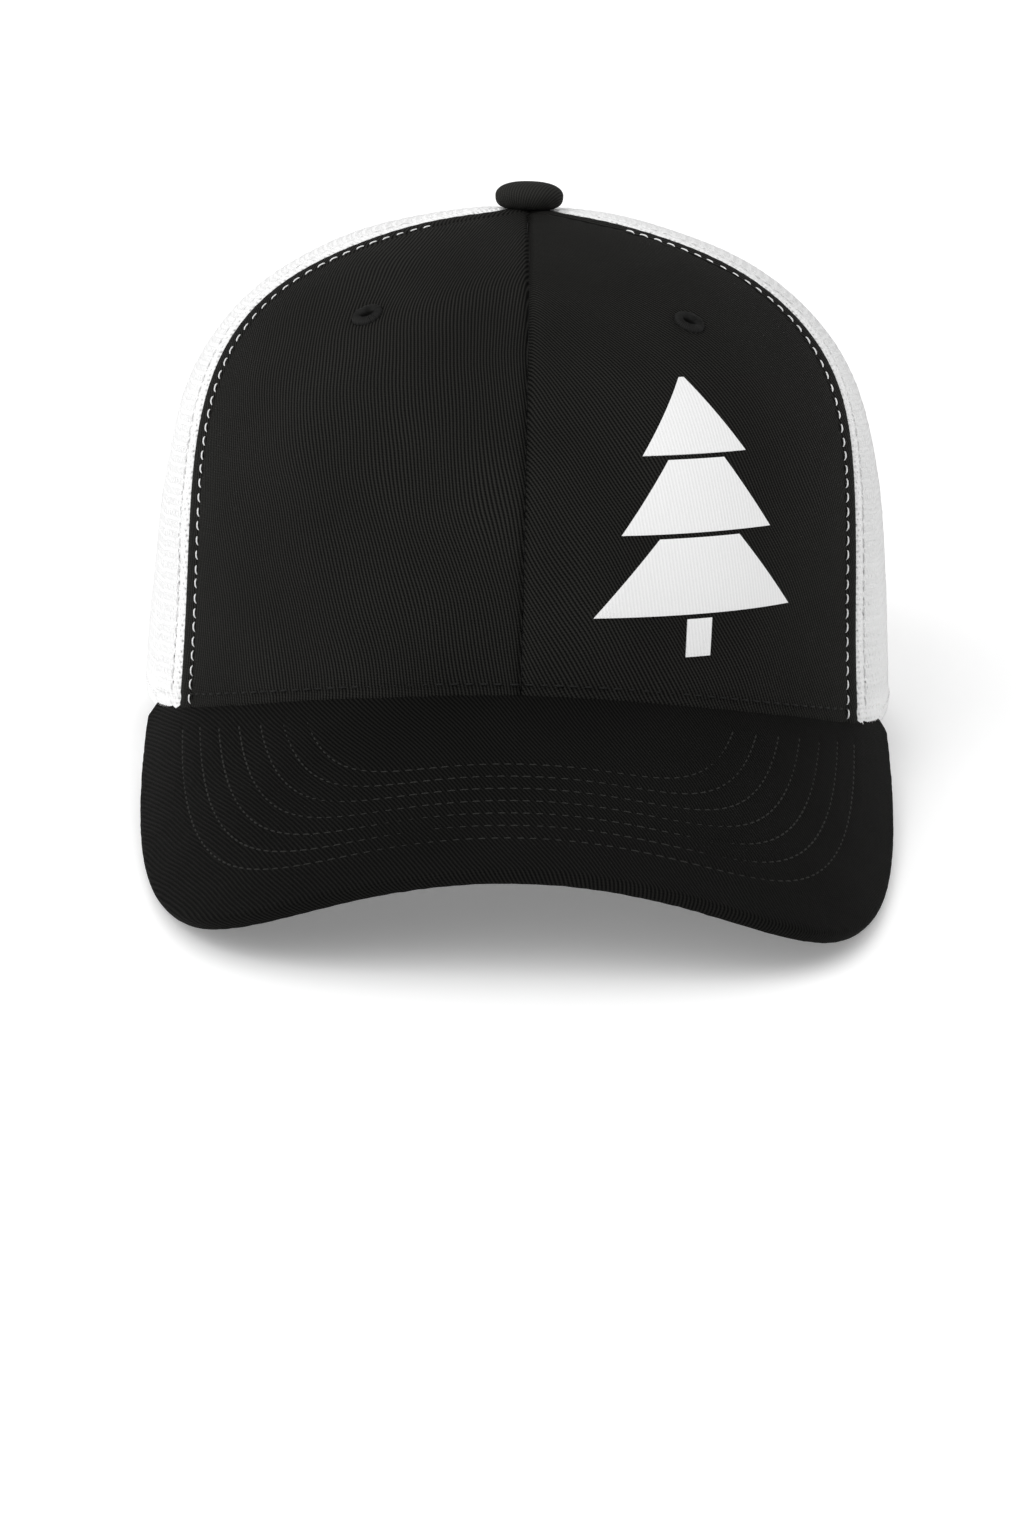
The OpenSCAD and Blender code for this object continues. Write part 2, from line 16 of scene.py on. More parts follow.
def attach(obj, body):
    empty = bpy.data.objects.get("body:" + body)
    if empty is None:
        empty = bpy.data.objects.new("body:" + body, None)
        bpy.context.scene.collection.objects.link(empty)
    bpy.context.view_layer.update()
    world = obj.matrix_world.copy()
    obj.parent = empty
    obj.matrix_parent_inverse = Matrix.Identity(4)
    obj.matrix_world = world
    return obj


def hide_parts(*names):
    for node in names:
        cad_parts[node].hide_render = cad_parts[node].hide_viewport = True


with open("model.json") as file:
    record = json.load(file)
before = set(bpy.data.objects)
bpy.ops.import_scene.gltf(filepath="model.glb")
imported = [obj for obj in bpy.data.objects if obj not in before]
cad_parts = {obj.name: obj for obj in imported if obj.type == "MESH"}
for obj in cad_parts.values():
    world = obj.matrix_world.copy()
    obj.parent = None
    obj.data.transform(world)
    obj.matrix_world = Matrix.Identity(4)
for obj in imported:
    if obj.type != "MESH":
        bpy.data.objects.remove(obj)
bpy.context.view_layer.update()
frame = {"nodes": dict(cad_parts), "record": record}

# ------------------------------------------------------------------ the cap's surfaces
HALF_W, HALF_L, CROWN_H = 86.0, 101.0, 111.6
SQUARE, ROUND, LEAN = (4.0, 5.4, 3.4), (1.7, 1.7, 1.9), 0.098
APEX_DIP, DIP_REACH = 1.0, 0.16
FRONT_SEAM, FRONT_BOW, BACK_SEAM = 62.0, 13.5, 118.0
APEX_S, CLOTH_T = 0.98, 0.8
VISOR_L, VISOR_HALF_W, BEND_R, SLOPE, DROOP, VISOR_T = 70.0, 94.5, 114.0, 18.1, 3.5, 3.4
EDGE_POWER, NOSE_POWER, VISOR_TUCK = 5.5, 2.0, 1.0
ROW_FIRST, ROW_PITCH, ROWS, ROW_CLEAR = 13.2, 4.98, 7, 6.0
TEMPLE_SHARE = 0.953
ARCH_DEG, ARCH_H, CROWN_GAP, SEAT_RISE = 28.0, 46.0, 0.5, -0.9
PANEL_STITCH, MESH_STITCH, HEM_RISE = 6.0, 5.2, 2.6
EYELET_DEG, EYELET_Z = 37.8, 92.3
EMBLEM_DEG, EMBLEM_TURN, EMBLEM_Z, EMBLEM_H = 26.5, 3.0, 25.0, 57.0
BUTTON_R, BUTTON_HALF_H = 7.7, 3.1
BACK_R = HALF_W * HALF_W / HALF_L
BACK_Y = HALF_L - BACK_R
STRAP_Z, STRAP_H, STRAP_T, PEG_PITCH, PEGS = 3.0, 16.0, 1.2, 7.5, 7
HOLE_R = 2.5

mount = next(m for m in frame["record"]["mounts"] if m["name"] == "head_opening")
TILT_SIN, TILT_COS = -mount["axis"][1], -mount["axis"][2]
SHIFT = [1000 * c for c in mount["pos_m"]]


def sin(a):
    return np.sin(np.radians(a))


def cos(a):
    return np.cos(np.radians(a))


def lerp(a, b, f):
    return a + (b - a) * f


def smooth(f):
    f = np.clip(f, 0, 1)
    return f * f * (3 - 2 * f)


def bell(d, width):
    return np.exp(-((d / width) ** 2))


def unit(v):
    return v / np.maximum(np.linalg.norm(v, axis=-1, keepdims=True), 1e-12)


def place(p):
    """Points of the cap's frame, in mm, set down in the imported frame, in metres."""
    q = np.array(p, float)
    y, z = q[..., 1].copy(), q[..., 2].copy()
    q[..., 0] += SHIFT[0]
    q[..., 1] = y * TILT_COS + z * TILT_SIN + SHIFT[1]
    q[..., 2] = z * TILT_COS - y * TILT_SIN + SHIFT[2]
    return q * 0.001


def by_side(sides, phi):
    c = cos(phi)
    front, side, back = sides
    return side + (front - side) * np.maximum(c, 0) ** 2 + (back - side) * np.maximum(-c, 0) ** 2


def raw(phi, s):
    sq, ro = by_side(SQUARE, phi), by_side(ROUND, phi)
    tau = 90 * np.asarray(s, float) ** (sq / 2)
    t = np.maximum(sin(tau), 0) ** (2 / sq)
    g = np.maximum(cos(tau), 0) ** (2 / ro) * (1 - LEAN * t)
    z = CROWN_H * t - APEX_DIP * bell(g, DIP_REACH)
    return np.stack([HALF_W * sin(phi) * g, -HALF_L * cos(phi) * g, z], -1)


def s_at(phi, z):
    sq = by_side(SQUARE, phi)
    share = np.clip(np.asarray(z, float) / CROWN_H, 0, 1)
    return (np.degrees(np.arcsin(share ** (sq / 2))) / 90) ** (2 / sq)


def axes(phi, s):
    """The directions along the crown, up it and out of it."""
    along = unit(raw(phi + 0.3, s) - raw(phi - 0.3, s))
    up = unit(raw(phi, np.minimum(s + 0.003, 1)) - raw(phi, np.maximum(s - 0.003, 0)))
    return along, up, unit(np.cross(along, up))


def crown(phi, s, out=0.0, side=0.0):
    phi, s = np.broadcast_arrays(np.asarray(phi, float), np.asarray(s, float))
    along, _, normal = axes(phi, s)
    return raw(phi, s) + np.asarray(out)[..., None] * normal + np.asarray(side)[..., None] * along


def seam(k, s):
    climb = 90 * np.asarray(s, float) ** (by_side(SQUARE, 65.0) / 2)
    front = FRONT_SEAM + FRONT_BOW * sin(2 * climb)
    return np.sign(k) * [0 * front, front, BACK_SEAM + 0 * front, 180 + 0 * front][abs(k)]


def inner_w(bend, front):
    return (front - HALF_L + BEND_R * (1 - cos(bend)) * sin(SLOPE)) / cos(SLOPE)


TEMPLE_DEG = math.degrees(math.asin(TEMPLE_SHARE))
TEMPLE_BEND = math.degrees(math.asin(TEMPLE_SHARE * HALF_W / BEND_R))
TEMPLE_U = BEND_R * math.radians(TEMPLE_BEND)
TEMPLE_W = float(inner_w(TEMPLE_BEND, HALF_L * cos(TEMPLE_DEG)))
VISOR_Z = TEMPLE_W * sin(SLOPE) + BEND_R * (1 - cos(TEMPLE_BEND)) * cos(SLOPE) + DROOP


def inner_uw(v, tuck):
    phi = v * TEMPLE_DEG
    bend = np.degrees(np.arcsin((HALF_W - tuck) * sin(phi) / BEND_R))
    return BEND_R * np.radians(bend), inner_w(bend, (HALF_L - tuck) * cos(phi))


def edge_uw(v, inset):
    t = 90 * (1 - (1 - np.abs(v)) ** 1.6) ** (EDGE_POWER / 2)
    u = np.sign(v) * (VISOR_HALF_W - inset) * sin(t) ** (2 / EDGE_POWER)
    return u, TEMPLE_W + (VISOR_L - inset - TEMPLE_W) * np.maximum(cos(t), 0) ** (2 / NOSE_POWER)


def inset_of(u, w):
    """How far inside the visor's outline a point lies, by halving."""
    lo, hi = np.full(np.shape(u), -3.0), np.full(np.shape(u), VISOR_L + 20)
    for _ in range(30):
        mid = (lo + hi) / 2
        a = (np.abs(u) / np.maximum(VISOR_HALF_W - mid, 1)) ** EDGE_POWER
        reach = np.maximum(VISOR_L - mid - TEMPLE_W, 1)
        inside = a + np.maximum((w - TEMPLE_W) / reach, 0) ** NOSE_POWER < 1
        lo, hi = np.where(inside, mid, lo), np.where(inside, hi, mid)
    return lo


def visor(u, w, down=0.0):
    u, w, down = np.broadcast_arrays(u, w, np.asarray(down, float))
    bend = np.degrees(u / BEND_R)
    top, forward = np.array([0, -sin(SLOPE), cos(SLOPE)]), np.array([0, -cos(SLOPE), -sin(SLOPE)])
    droop = DROOP * np.minimum(np.abs(u) / TEMPLE_U, 1.05) ** 8
    base = np.array([0, -HALF_L, VISOR_Z]) - BEND_R * top - droop[..., None] * np.array([0, 0, 1])
    side = np.stack([sin(bend), cos(bend) * top[1], cos(bend) * top[2]], -1)
    return base + w[..., None] * forward + (BEND_R - down)[..., None] * side


def edge_z(phi):
    """Height of the crown's lower edge: the visor's seat, the open base, the back opening."""
    a = np.abs(np.asarray(phi, float))
    a = np.where(a > 180, 360 - a, a)
    seat = visor(*inner_uw(np.minimum(a / TEMPLE_DEG, 1), VISOR_TUCK))[..., 2]
    arch = ARCH_H * np.sqrt(np.maximum(1 - ((180 - a) / ARCH_DEG) ** 2, 0))
    return np.where(a < TEMPLE_DEG, np.maximum(seat, 0), np.where(a > 180 - ARCH_DEG, arch, 0))


def waves(x, y, seed, size, count=9):
    """Smooth, seeded, low relief between about -1 and 1, for cloth that isn't quite even."""
    rng = np.random.default_rng(seed)
    total = 0
    for _ in range(count):
        angle, phase = rng.uniform(0, 2 * math.pi, 2)
        length = size * rng.uniform(0.7, 1.6)
        total = total + np.sin(
            2 * math.pi * (x * math.cos(angle) + y * math.sin(angle)) / length + phase
        )
    return total / math.sqrt(count)


# ------------------------------------------------------------------ meshes
def grid_quads(rows, cols, wrap=False):
    i, j = np.meshgrid(np.arange(rows - 1), np.arange(cols if wrap else cols - 1), indexing="ij")
    right = (j + 1) % cols
    q = [i * cols + j, i * cols + right, (i + 1) * cols + right, (i + 1) * cols + j]
    return np.stack(q, -1).reshape(-1, 4)


class Shape:
    """Points, faces and flat cloth coordinates, gathered before they become one mesh."""

    def __init__(self):
        self.points, self.uvs, self.faces, self.count = [], [], [], 0

    def add(self, points, faces, uv=None):
        points = np.asarray(points, float).reshape(-1, 3)
        uv = points[:, :2] * 0 if uv is None else np.asarray(uv, float).reshape(-1, 2)
        self.points.append(points)
        self.uvs.append(uv)
        self.faces.append(np.asarray(faces) + self.count)
        self.count += len(points)

    def grid(self, points, uv, wrap=False, flip=False):
        rows, cols = points.shape[:2]
        q = grid_quads(rows, cols, wrap)
        self.add(points, q[:, ::-1] if flip else q, uv)

    def shell(self, face, back, uv, edge=0.35):
        """A sheet of cloth with rounded edges, between two grids of points."""
        rows, cols = face.shape[:2]
        n = rows * cols
        faces = grid_quads(rows, cols)
        loop = np.concatenate([
            np.arange(cols), np.arange(1, rows) * cols + cols - 1,
            (rows - 1) * cols + np.arange(cols - 2, -1, -1), np.arange(rows - 2, 0, -1) * cols,
        ])
        after = np.roll(loop, -1)
        around = np.stack([after, loop, loop + n, after + n], -1)
        top, low = face.reshape(-1, 3).copy(), back.reshape(-1, 3).copy()
        middle = (top[loop] + low[loop]) / 2
        top[loop], low[loop] = lerp(top[loop], middle, edge), lerp(low[loop], middle, edge)
        flat = np.asarray(uv, float).reshape(-1, 2)
        self.add(
            np.concatenate([top, low]),
            np.concatenate([faces, faces[:, ::-1] + n, around]),
            np.concatenate([flat, flat]),
        )


def add_object(name, data):
    obj = bpy.data.objects.new(name, data)
    bpy.context.scene.collection.objects.link(obj)
    return obj


def build(name, shape, material, body="root", nodes=(), sharp=None):
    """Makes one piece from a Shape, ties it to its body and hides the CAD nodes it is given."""
    points = place(np.concatenate(shape.points))
    uvs = np.concatenate(shape.uvs)
    sizes = [np.full(len(f), f.shape[1]) for f in shape.faces]
    corners = np.concatenate([f.ravel() for f in shape.faces]).astype(np.int32)
    totals = np.concatenate(sizes).astype(np.int32)
    mesh = bpy.data.meshes.new(name)
    mesh.vertices.add(len(points))
    mesh.vertices.foreach_set("co", points.ravel().astype(np.float32))
    mesh.loops.add(len(corners))
    mesh.loops.foreach_set("vertex_index", corners)
    mesh.polygons.add(len(totals))
    mesh.polygons.foreach_set("loop_start", (np.cumsum(totals) - totals).astype(np.int32))
    mesh.polygons.foreach_set("loop_total", totals)
    mesh.update(calc_edges=True)
    layer = mesh.uv_layers.new(name="UVMap")
    layer.data.foreach_set("uv", uvs[corners].astype(np.float32).ravel())
    mesh.polygons.foreach_set("use_smooth", np.ones(len(totals), bool))
    if sharp:
        mesh.set_sharp_from_angle(angle=math.radians(sharp))
    mesh.materials.append(material)
    mesh.validate()
    piece = add_object(name, mesh)
    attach(piece, body)
    if nodes:
        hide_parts(*nodes)
    return piece


def path_marks(points):
    steps = np.linalg.norm(np.diff(points, axis=0), axis=1)
    return np.concatenate([[0], np.cumsum(steps)])


def stitches(shape, points, normals, pitch=3.2, length=2.35, radius=0.3, seed=1, lift=0.16,
             skew=0.0, margin=1.0):
    """Separate stitches of two-ply thread along a path, each diving into the cloth at its ends."""
    points, normals = np.asarray(points, float), np.asarray(normals, float)
    marks = path_marks(points)
    count = int((marks[-1] - 2 * margin + pitch - length) / pitch)
    if count < 1:
        return
    rng = np.random.default_rng(seed)
    rings, sides = 9, 8
    f = np.linspace(0, 1, rings)
    start = margin + (marks[-1] - 2 * margin - (count - 1) * pitch - length) / 2
    at = start + np.arange(count)[:, None] * pitch + f[None, :] * length
    at = at + rng.uniform(-0.12, 0.12, (count, 1))

    def along(values, where):
        return np.stack([np.interp(where, marks, values[:, k]) for k in range(3)], -1)

    centre, normal = along(points, at), unit(along(normals, at))
    ahead = unit(along(points, at + 0.05) - along(points, at - 0.05))
    side = unit(np.cross(normal, ahead))
    bow = 1 - np.abs(2 * f - 1) ** 3
    slant = (skew + rng.uniform(-0.06, 0.06, (count, 1))) * (f - 0.5)
    centre = centre + (lift * bow - 0.24 * (1 - bow))[None, :, None] * normal + slant[..., None] * side
    theta = np.linspace(0, 2 * math.pi, sides, endpoint=False)
    girth = radius * (0.5 + 0.5 * bow ** 0.6)[:, None]
    ply = 1 + 0.13 * np.cos(2 * (theta[None, :] - 5.5 * f[:, None]))
    r = girth * ply
    ring = (
        centre[:, :, None, :]
        + (r * np.cos(theta))[None, ..., None] * side[:, :, None, :]
        + (0.85 * r * np.sin(theta))[None, ..., None] * normal[:, :, None, :]
    )
    quads = grid_quads(rings, sides, wrap=True)
    every = (quads[None] + (np.arange(count) * rings * sides)[:, None, None]).reshape(-1, 4)
    uv = np.stack(np.broadcast_arrays(at[:, :, None], radius * theta[None, None, :]), -1)
    shape.add(ring, every[:, ::-1], uv)
    ends = np.arange(count)[:, None] * rings * sides
    first, last = np.arange(sides)[None, :], (rings - 1) * sides + np.arange(sides)[None, :]
    caps = np.concatenate([(ends + first), (ends + last)[:, ::-1]])
    shape.faces.append(caps + shape.count - count * rings * sides)


# ------------------------------------------------------------------ materials
class Graph:
    """A material and short names for the nodes that make it up."""

    def __init__(self, name, **sockets):
        self.material = bpy.data.materials.new(name)
        self.material.use_nodes = True
        self.tree = self.material.node_tree
        self.shader = self.tree.nodes["Principled BSDF"]
        for key, value in sockets.items():
            self.set(key.replace("_", " "), value)

    def set(self, socket, value):
        if isinstance(value, bpy.types.NodeSocket):
            self.tree.links.new(value, self.shader.inputs[socket])
        else:
            self.shader.inputs[socket].default_value = value

    def node(self, kind, *inputs, **settings):
        node = self.tree.nodes.new(kind)
        for key, value in settings.items():
            setattr(node, key, value)
        for index, value in enumerate(inputs):
            if isinstance(value, bpy.types.NodeSocket):
                self.tree.links.new(value, node.inputs[index])
            elif value is not None:
                node.inputs[index].default_value = value
        return node

    def math(self, operation, *values):
        return self.node("ShaderNodeMath", *values, operation=operation).outputs[0]

    def flat(self):
        return self.node("ShaderNodeUVMap", uv_map="UVMap").outputs[0]

    def place(self):
        return self.node("ShaderNodeTexCoord").outputs["Object"]

    def split(self, vector):
        return self.node("ShaderNodeSeparateXYZ", vector).outputs[:]

    def noise(self, vector, scale, detail=2.0, rough=0.5):
        node = self.node("ShaderNodeTexNoise")
        self.tree.links.new(vector, node.inputs["Vector"])
        for key, value in (("Scale", scale), ("Detail", detail), ("Roughness", rough)):
            node.inputs[key].default_value = value
        return node.outputs[0]

    def remap(self, value, a, b, c, d):
        node = self.node("ShaderNodeMapRange", value, a, b, c, d)
        return node.outputs[0]

    def mix(self, share, low, high):
        node = self.node("ShaderNodeMix", data_type="RGBA")
        for index, value in ((0, share), (6, low), (7, high)):
            if isinstance(value, bpy.types.NodeSocket):
                self.tree.links.new(value, node.inputs[index])
            else:
                node.inputs[index].default_value = (*value, 1) if index else value
        return node.outputs[2]

    def bump(self, height, depth_mm):
        node = self.node("ShaderNodeBump")
        node.inputs["Strength"].default_value = 1.0
        node.inputs["Distance"].default_value = depth_mm * 0.001
        self.tree.links.new(height, node.inputs["Height"])
        self.set("Normal", node.outputs[0])

    def wave(self, value, pitch, shift):
        turn = self.math("MULTIPLY", value, 2 * math.pi / pitch)
        return self.math("COSINE", self.math("ADD", turn, shift))


def cloth(name, low, high, pitch, step, depth, rough=0.85, sheen=0.12, wander=1.2, fuzz=0.55,
          float_share=0.22, shine=0.25, span=1.7, patchy=(0.86, 1.12), bends=0.0):
    """Twill, tape or thread: ribs along the V axis of the flat coordinates, a pitch apart."""
    g = Graph(name, Sheen_Weight=sheen, Sheen_Roughness=0.5, Specular_IOR_Level=shine)
    flat = g.flat()
    x, y, _ = g.split(flat)
    slow = g.noise(flat, 0.22, 2)
    slow_part = g.math("MULTIPLY", slow, wander)
    shift = g.math("ADD", slow_part, g.math("MULTIPLY", g.noise(flat, 0.025, 1), bends))
    rib = g.wave(x, pitch, shift)
    turn = g.math("ADD", g.math("MULTIPLY", y, 2 * math.pi / step), g.math("MULTIPLY", x, math.pi / pitch))
    weft = g.math("COSINE", turn)
    fibre = g.noise(flat, 4.2, 3, 0.65)
    height = g.math("ADD", rib, g.math("MULTIPLY", weft, float_share))
    height = g.math("ADD", height, g.math("MULTIPLY", g.math("SUBTRACT", fibre, 0.5), fuzz * 4))
    share = g.remap(height, -span, span, 0, 1)
    patch = g.noise(g.place(), 28, 2)
    tone = g.mix(share, low, high)
    dim = g.remap(patch, 0.3, 0.7, *patchy)
    hsv = g.node("ShaderNodeHueSaturation", 0.5, 1.0, dim, 1.0, tone)
    g.set("Base Color", hsv.outputs[0])
    g.set("Roughness", g.remap(fibre, 0.3, 0.7, rough - 0.06, min(rough + 0.08, 1)))
    g.bump(g.math("MULTIPLY", height, 0.5), depth)
    return g.material


def solid(name, low, high, rough, scale, depth, detail=3, **sockets):
    """A finish with fine grain: moulded plastic, plated steel or film."""
    g = Graph(name, **sockets)
    grain = g.noise(g.place(), scale, detail, 0.6)
    broad = g.noise(g.place(), scale * 0.03, 2)
    g.set("Base Color", g.mix(g.remap(broad, 0.3, 0.7, 0, 1), low, high))
    g.set("Roughness", g.remap(grain, 0.3, 0.7, rough - 0.07, rough + 0.09))
    g.bump(grain, depth)
    return g.material


black_twill = cloth("black_twill", (0.0012, 0.0012, 0.0011), (0.0245, 0.0242, 0.0222), 0.8, 0.62, 0.2,
                    sheen=0.0, shine=0.06, span=1.05, bends=60.0)
# The bill's twill is the crown's black twill at about half the brightness. The darker colour is painted
# shade, set against the extra light that the bill's upturned face catches.
bill_twill_painted_shade = cloth("bill_twill_painted_shade", (0.001, 0.001, 0.001), (0.0112, 0.011, 0.0101), 0.8, 0.62, 0.18,
                   sheen=0.0, shine=0.04, span=1.1, bends=30.0)
button_twill = cloth("button_twill", (0.006, 0.006, 0.0056), (0.034, 0.0337, 0.0312), 0.7, 0.55, 0.1,
                     sheen=0.0, shine=0.06)
black_tape = cloth("black_tape", (0.008, 0.008, 0.009), (0.03, 0.03, 0.031), 0.55, 0.7, 0.1)
white_tape = cloth("white_tape", (0.62, 0.62, 0.61), (0.84, 0.84, 0.83), 0.55, 0.7, 0.1, sheen=0.05)
white_thread = cloth("white_thread", (0.7, 0.7, 0.7), (0.93, 0.93, 0.93), 0.34, 0.5, 0.04, 0.6, 0.1)
black_thread = cloth("black_thread", (0.005, 0.005, 0.005), (0.02, 0.02, 0.019), 0.34, 0.5, 0.04, 0.6,
                     sheen=0.0, shine=0.1)
bill_thread = cloth("bill_thread", (0.012, 0.012, 0.011), (0.036, 0.036, 0.034), 0.34, 0.5, 0.04, 0.6,
                    sheen=0.0, shine=0.08)
white_net = cloth("white_net", (0.88, 0.88, 0.88), (0.96, 0.96, 0.96), 0.45, 0.3, 0.04, 0.6, 0.1,
                  fuzz=0.4, patchy=(0.95, 1.02))
buckram_weave = cloth("buckram_weave", (0.01, 0.01, 0.011), (0.055, 0.055, 0.058), 0.9, 0.9, 0.16,
                      float_share=1.0)
band_cloth = cloth("band_cloth", (0.012, 0.012, 0.013), (0.042, 0.042, 0.044), 0.6, 0.5, 0.12)
foam_jersey = cloth("foam_jersey", (0.03, 0.03, 0.03), (0.08, 0.08, 0.08), 0.4, 0.4, 0.06)
label_satin = cloth("label_satin", (0.8, 0.8, 0.79), (0.9, 0.9, 0.89), 0.22, 0.8, 0.02, 0.4, 0.3)
strap_plastic = solid("strap_plastic", (0.83, 0.83, 0.82), (0.88, 0.88, 0.87), 0.42, 1600, 0.012,
                      Specular_IOR_Level=0.5)
visor_plastic = solid("visor_plastic", (0.74, 0.74, 0.72), (0.82, 0.82, 0.8), 0.45, 900, 0.02)
pressed_steel = solid("pressed_steel", (0.55, 0.55, 0.56), (0.66, 0.66, 0.66), 0.32, 1200, 0.008,
                      Metallic=1.0)


def film_material():
    """Thin film pressed on twill: the ribs below show through it as a faint grain."""
    g = Graph("film", Specular_IOR_Level=0.4)
    flat = g.flat()
    x, _, _ = g.split(flat)
    slow = g.noise(flat, 0.22, 2)
    rib = g.wave(x, 0.8, g.math("MULTIPLY", slow, 1.2))
    fine = g.noise(flat, 2.6, 3, 0.6)
    height = g.math("ADD", g.math("MULTIPLY", rib, 0.5), g.math("MULTIPLY", fine, 1.2))
    tone = g.mix(g.remap(height, 0, 1.2, 0, 1), (0.78, 0.78, 0.78), (0.86, 0.86, 0.86))
    g.set("Base Color", tone)
    g.set("Roughness", g.remap(fine, 0.3, 0.7, 0.5, 0.62))
    g.bump(height, 0.035)
    return g.material


film = film_material()


# ------------------------------------------------------------------ crown panels
class Panel:
    """A crown panel between two seams, with the flat size of its cloth."""

    def __init__(self, k0, k1, rise, arch=True):
        self.k0, self.k1, self.rise, self.arch = k0, k1, rise, arch
        v = np.linspace(0, 1, 241)
        u = np.linspace(0, 1, 61)
        net = raw(*self.at(u[None, :], v[:, None]))
        across = np.linalg.norm(np.diff(net, axis=1), axis=2).sum(1)
        self.v, self.width = v, across
        self.height = path_marks(net[:, 30])

    def at(self, u, v):
        base = lerp(float(seam(self.k0, 0.0)), float(seam(self.k1, 0.0)), u)
        floor = edge_z(base) if self.arch else np.where(np.abs(base) > 120, 0, edge_z(base))
        low = s_at(base, floor + self.rise)
        s = lerp(low, APEX_S, 1 - (1 - v) ** 1.35)
        return lerp(seam(self.k0, s), seam(self.k1, s), u), s

    def flat(self, u, v):
        x = (u - 0.5) * np.interp(v, self.v, self.width)
        y = np.interp(v, self.v, self.height) + 0 * u
        return x, y


def ribs(x, y, angle):
    """Flat coordinates turned so that the cloth's ribs run at an angle above the X axis."""
    c, s = math.cos(math.radians(angle)), math.sin(math.radians(angle))
    return np.stack([x * s - y * c, x * c + y * s], -1)


def side_relief(d, line, groove=1.1):
    """Cloth beside a seam: it turns in at the seam and is pulled down along the topstitch."""
    dip = -groove * (bell(d, 0.75) + 0.23 * bell(d, 2.2))
    return dip + 0.22 * bell(d - line * 0.45, line * 0.28) - 0.34 * bell(d - line, 0.7)


def pucker(d, line, y, seed):
    """Small dents at the needle holes and faint puckers that fan out from them."""
    beat = np.cos(2 * math.pi * (y + 0.3 * waves(y, y * 0, seed, 9.0)) / 3.2)
    return -0.1 * bell(d - line, 0.9) * beat + 0.07 * bell(d - line * 0.5, line * 0.35) * beat


def spread(count, power=0.72):
    """Shares from 0 to 1, closer together at both ends."""
    f = np.linspace(-1, 1, count)
    return (np.sign(f) * (1 - (1 - np.abs(f)) ** (1 / power)) + 1) / 2


def seam_distances(panel, u, v):
    width = np.interp(v, panel.v, panel.width)
    return u * width, (1 - u) * width


def apex_rise(panel, u, v, height):
    """The cloth is drawn up to the button."""
    spot = raw(*panel.at(u, v))
    return height * bell(np.hypot(spot[..., 0], spot[..., 1]), 9.0)


def front_relief(panel, u, v, k_stitched, seed):
    a, b = seam_distances(panel, u, v)
    centre, stitched = (a, b) if k_stitched == panel.k1 else (b, a)
    x, y = panel.flat(u, v)
    relief = side_relief(stitched, PANEL_STITCH, 0.25) + pucker(stitched, PANEL_STITCH, y, seed)
    relief = relief - 1.0 * bell(centre, 0.8) - 0.35 * bell(centre, 2.4)
    relief = relief * smooth((1 - v) / 0.09) + apex_rise(panel, u, v, 0.9)
    relief = relief + 0.1 * bell(centre - 3.2, 1.6) + 0.05 * waves(x, y, seed + 1, 4.5) * bell(centre, 5)
    hem = y - HEM_RISE
    relief = relief - 0.35 * bell(y, 0.9) - 0.28 * bell(hem, 0.7)
    relief = relief + 0.08 * waves(x, y * 0.4, seed + 2, 5.0) * bell(y, 7)
    return relief + 0.16 * waves(x, y, seed + 3, 38.0)


def eyelet_axes(side):
    phi = np.array(side * EYELET_DEG)
    s = s_at(phi, EYELET_Z)
    along, up, normal = axes(phi, s)
    return raw(phi, s), along, up, normal


SLIT_ANGLE, SLIT_LONG, SLIT_SHORT = -32.0, 1.45, 0.8


def front_panel(name, side, k0, k1, angle, seed):
    panel = Panel(k0, k1, SEAT_RISE)
    rows, cols = 190, 150
    u, v = np.meshgrid(spread(cols, 0.8), np.linspace(0, 1, rows) ** 1.04)
    phi, s = panel.at(u, v)
    relief = front_relief(panel, u, v, side, seed)
    centre, along, up, _ = eyelet_axes(side)
    rel = raw(phi, s) - centre
    ex, ey = rel @ along, rel @ up
    near = np.hypot(ex, ey)
    relief = relief - 0.2 * bell(near - 3.4, 0.8)
    # keep the cut edges from crossing at the seams
    inward = np.where(u == 0, 0.05, np.where(u == 1, -0.05, 0.0))
    face = crown(phi, s, relief, inward)
    back = crown(phi, s, -CLOTH_T + 0.35 * np.minimum(relief, 0), inward)
    uv = ribs(*panel.flat(u, v), angle)
    shape = Shape()
    shape.shell(face, back, uv)
    a = math.radians(SLIT_ANGLE * side)
    lx, ly = ex * math.cos(a) + ey * math.sin(a), ey * math.cos(a) - ex * math.sin(a)
    hole = ((lx / (SLIT_LONG + 0.3)) ** 2 + (ly / (SLIT_SHORT + 0.3)) ** 2 < 1).ravel()
    hole = np.concatenate([hole, hole])
    faces = shape.faces[0]
    shape.faces[0] = faces[~hole[faces].any(1)]
    return build(name, shape, black_twill, nodes=["front_panel_" + name.split("_")[-1]])


front_panel("front_twill_left", 1, 0, 1, 124.0, 11)
front_panel("front_twill_right", -1, -1, 0, 106.0, 21)


def plain_panel(name, k0, k1, out, thick, trim, rise, material, slot, node, rows=70, cols=60):
    panel = Panel(k0, k1, rise)
    u, v = np.meshgrid(np.linspace(0, 1, cols), np.linspace(0, 1, rows))
    phi, s = panel.at(u, v)
    side = np.where(u == 0, trim, np.where(u == 1, -trim, 0.0))
    shape = Shape()
    x, y = panel.flat(u, v)
    wobble = 0.06 * waves(x, y, 5, 30.0)
    shape.shell(crown(phi, s, out + wobble, side), crown(phi, s, out - thick + wobble, side),
                ribs(x, y, 90.0))
    return build(name, shape, material, nodes=[node])


for hand, seams in (("left", (0, 1)), ("right", (-1, 0))):
    plain_panel("stiffener_" + hand, *seams, -CLOTH_T - 0.2, 0.5, 1.0, 1.2, buckram_weave,
                "buckram", "buckram_" + hand)


# ------------------------------------------------------------------ knitted net
NET_PITCH, NET_HOLE = 1.36, 0.37


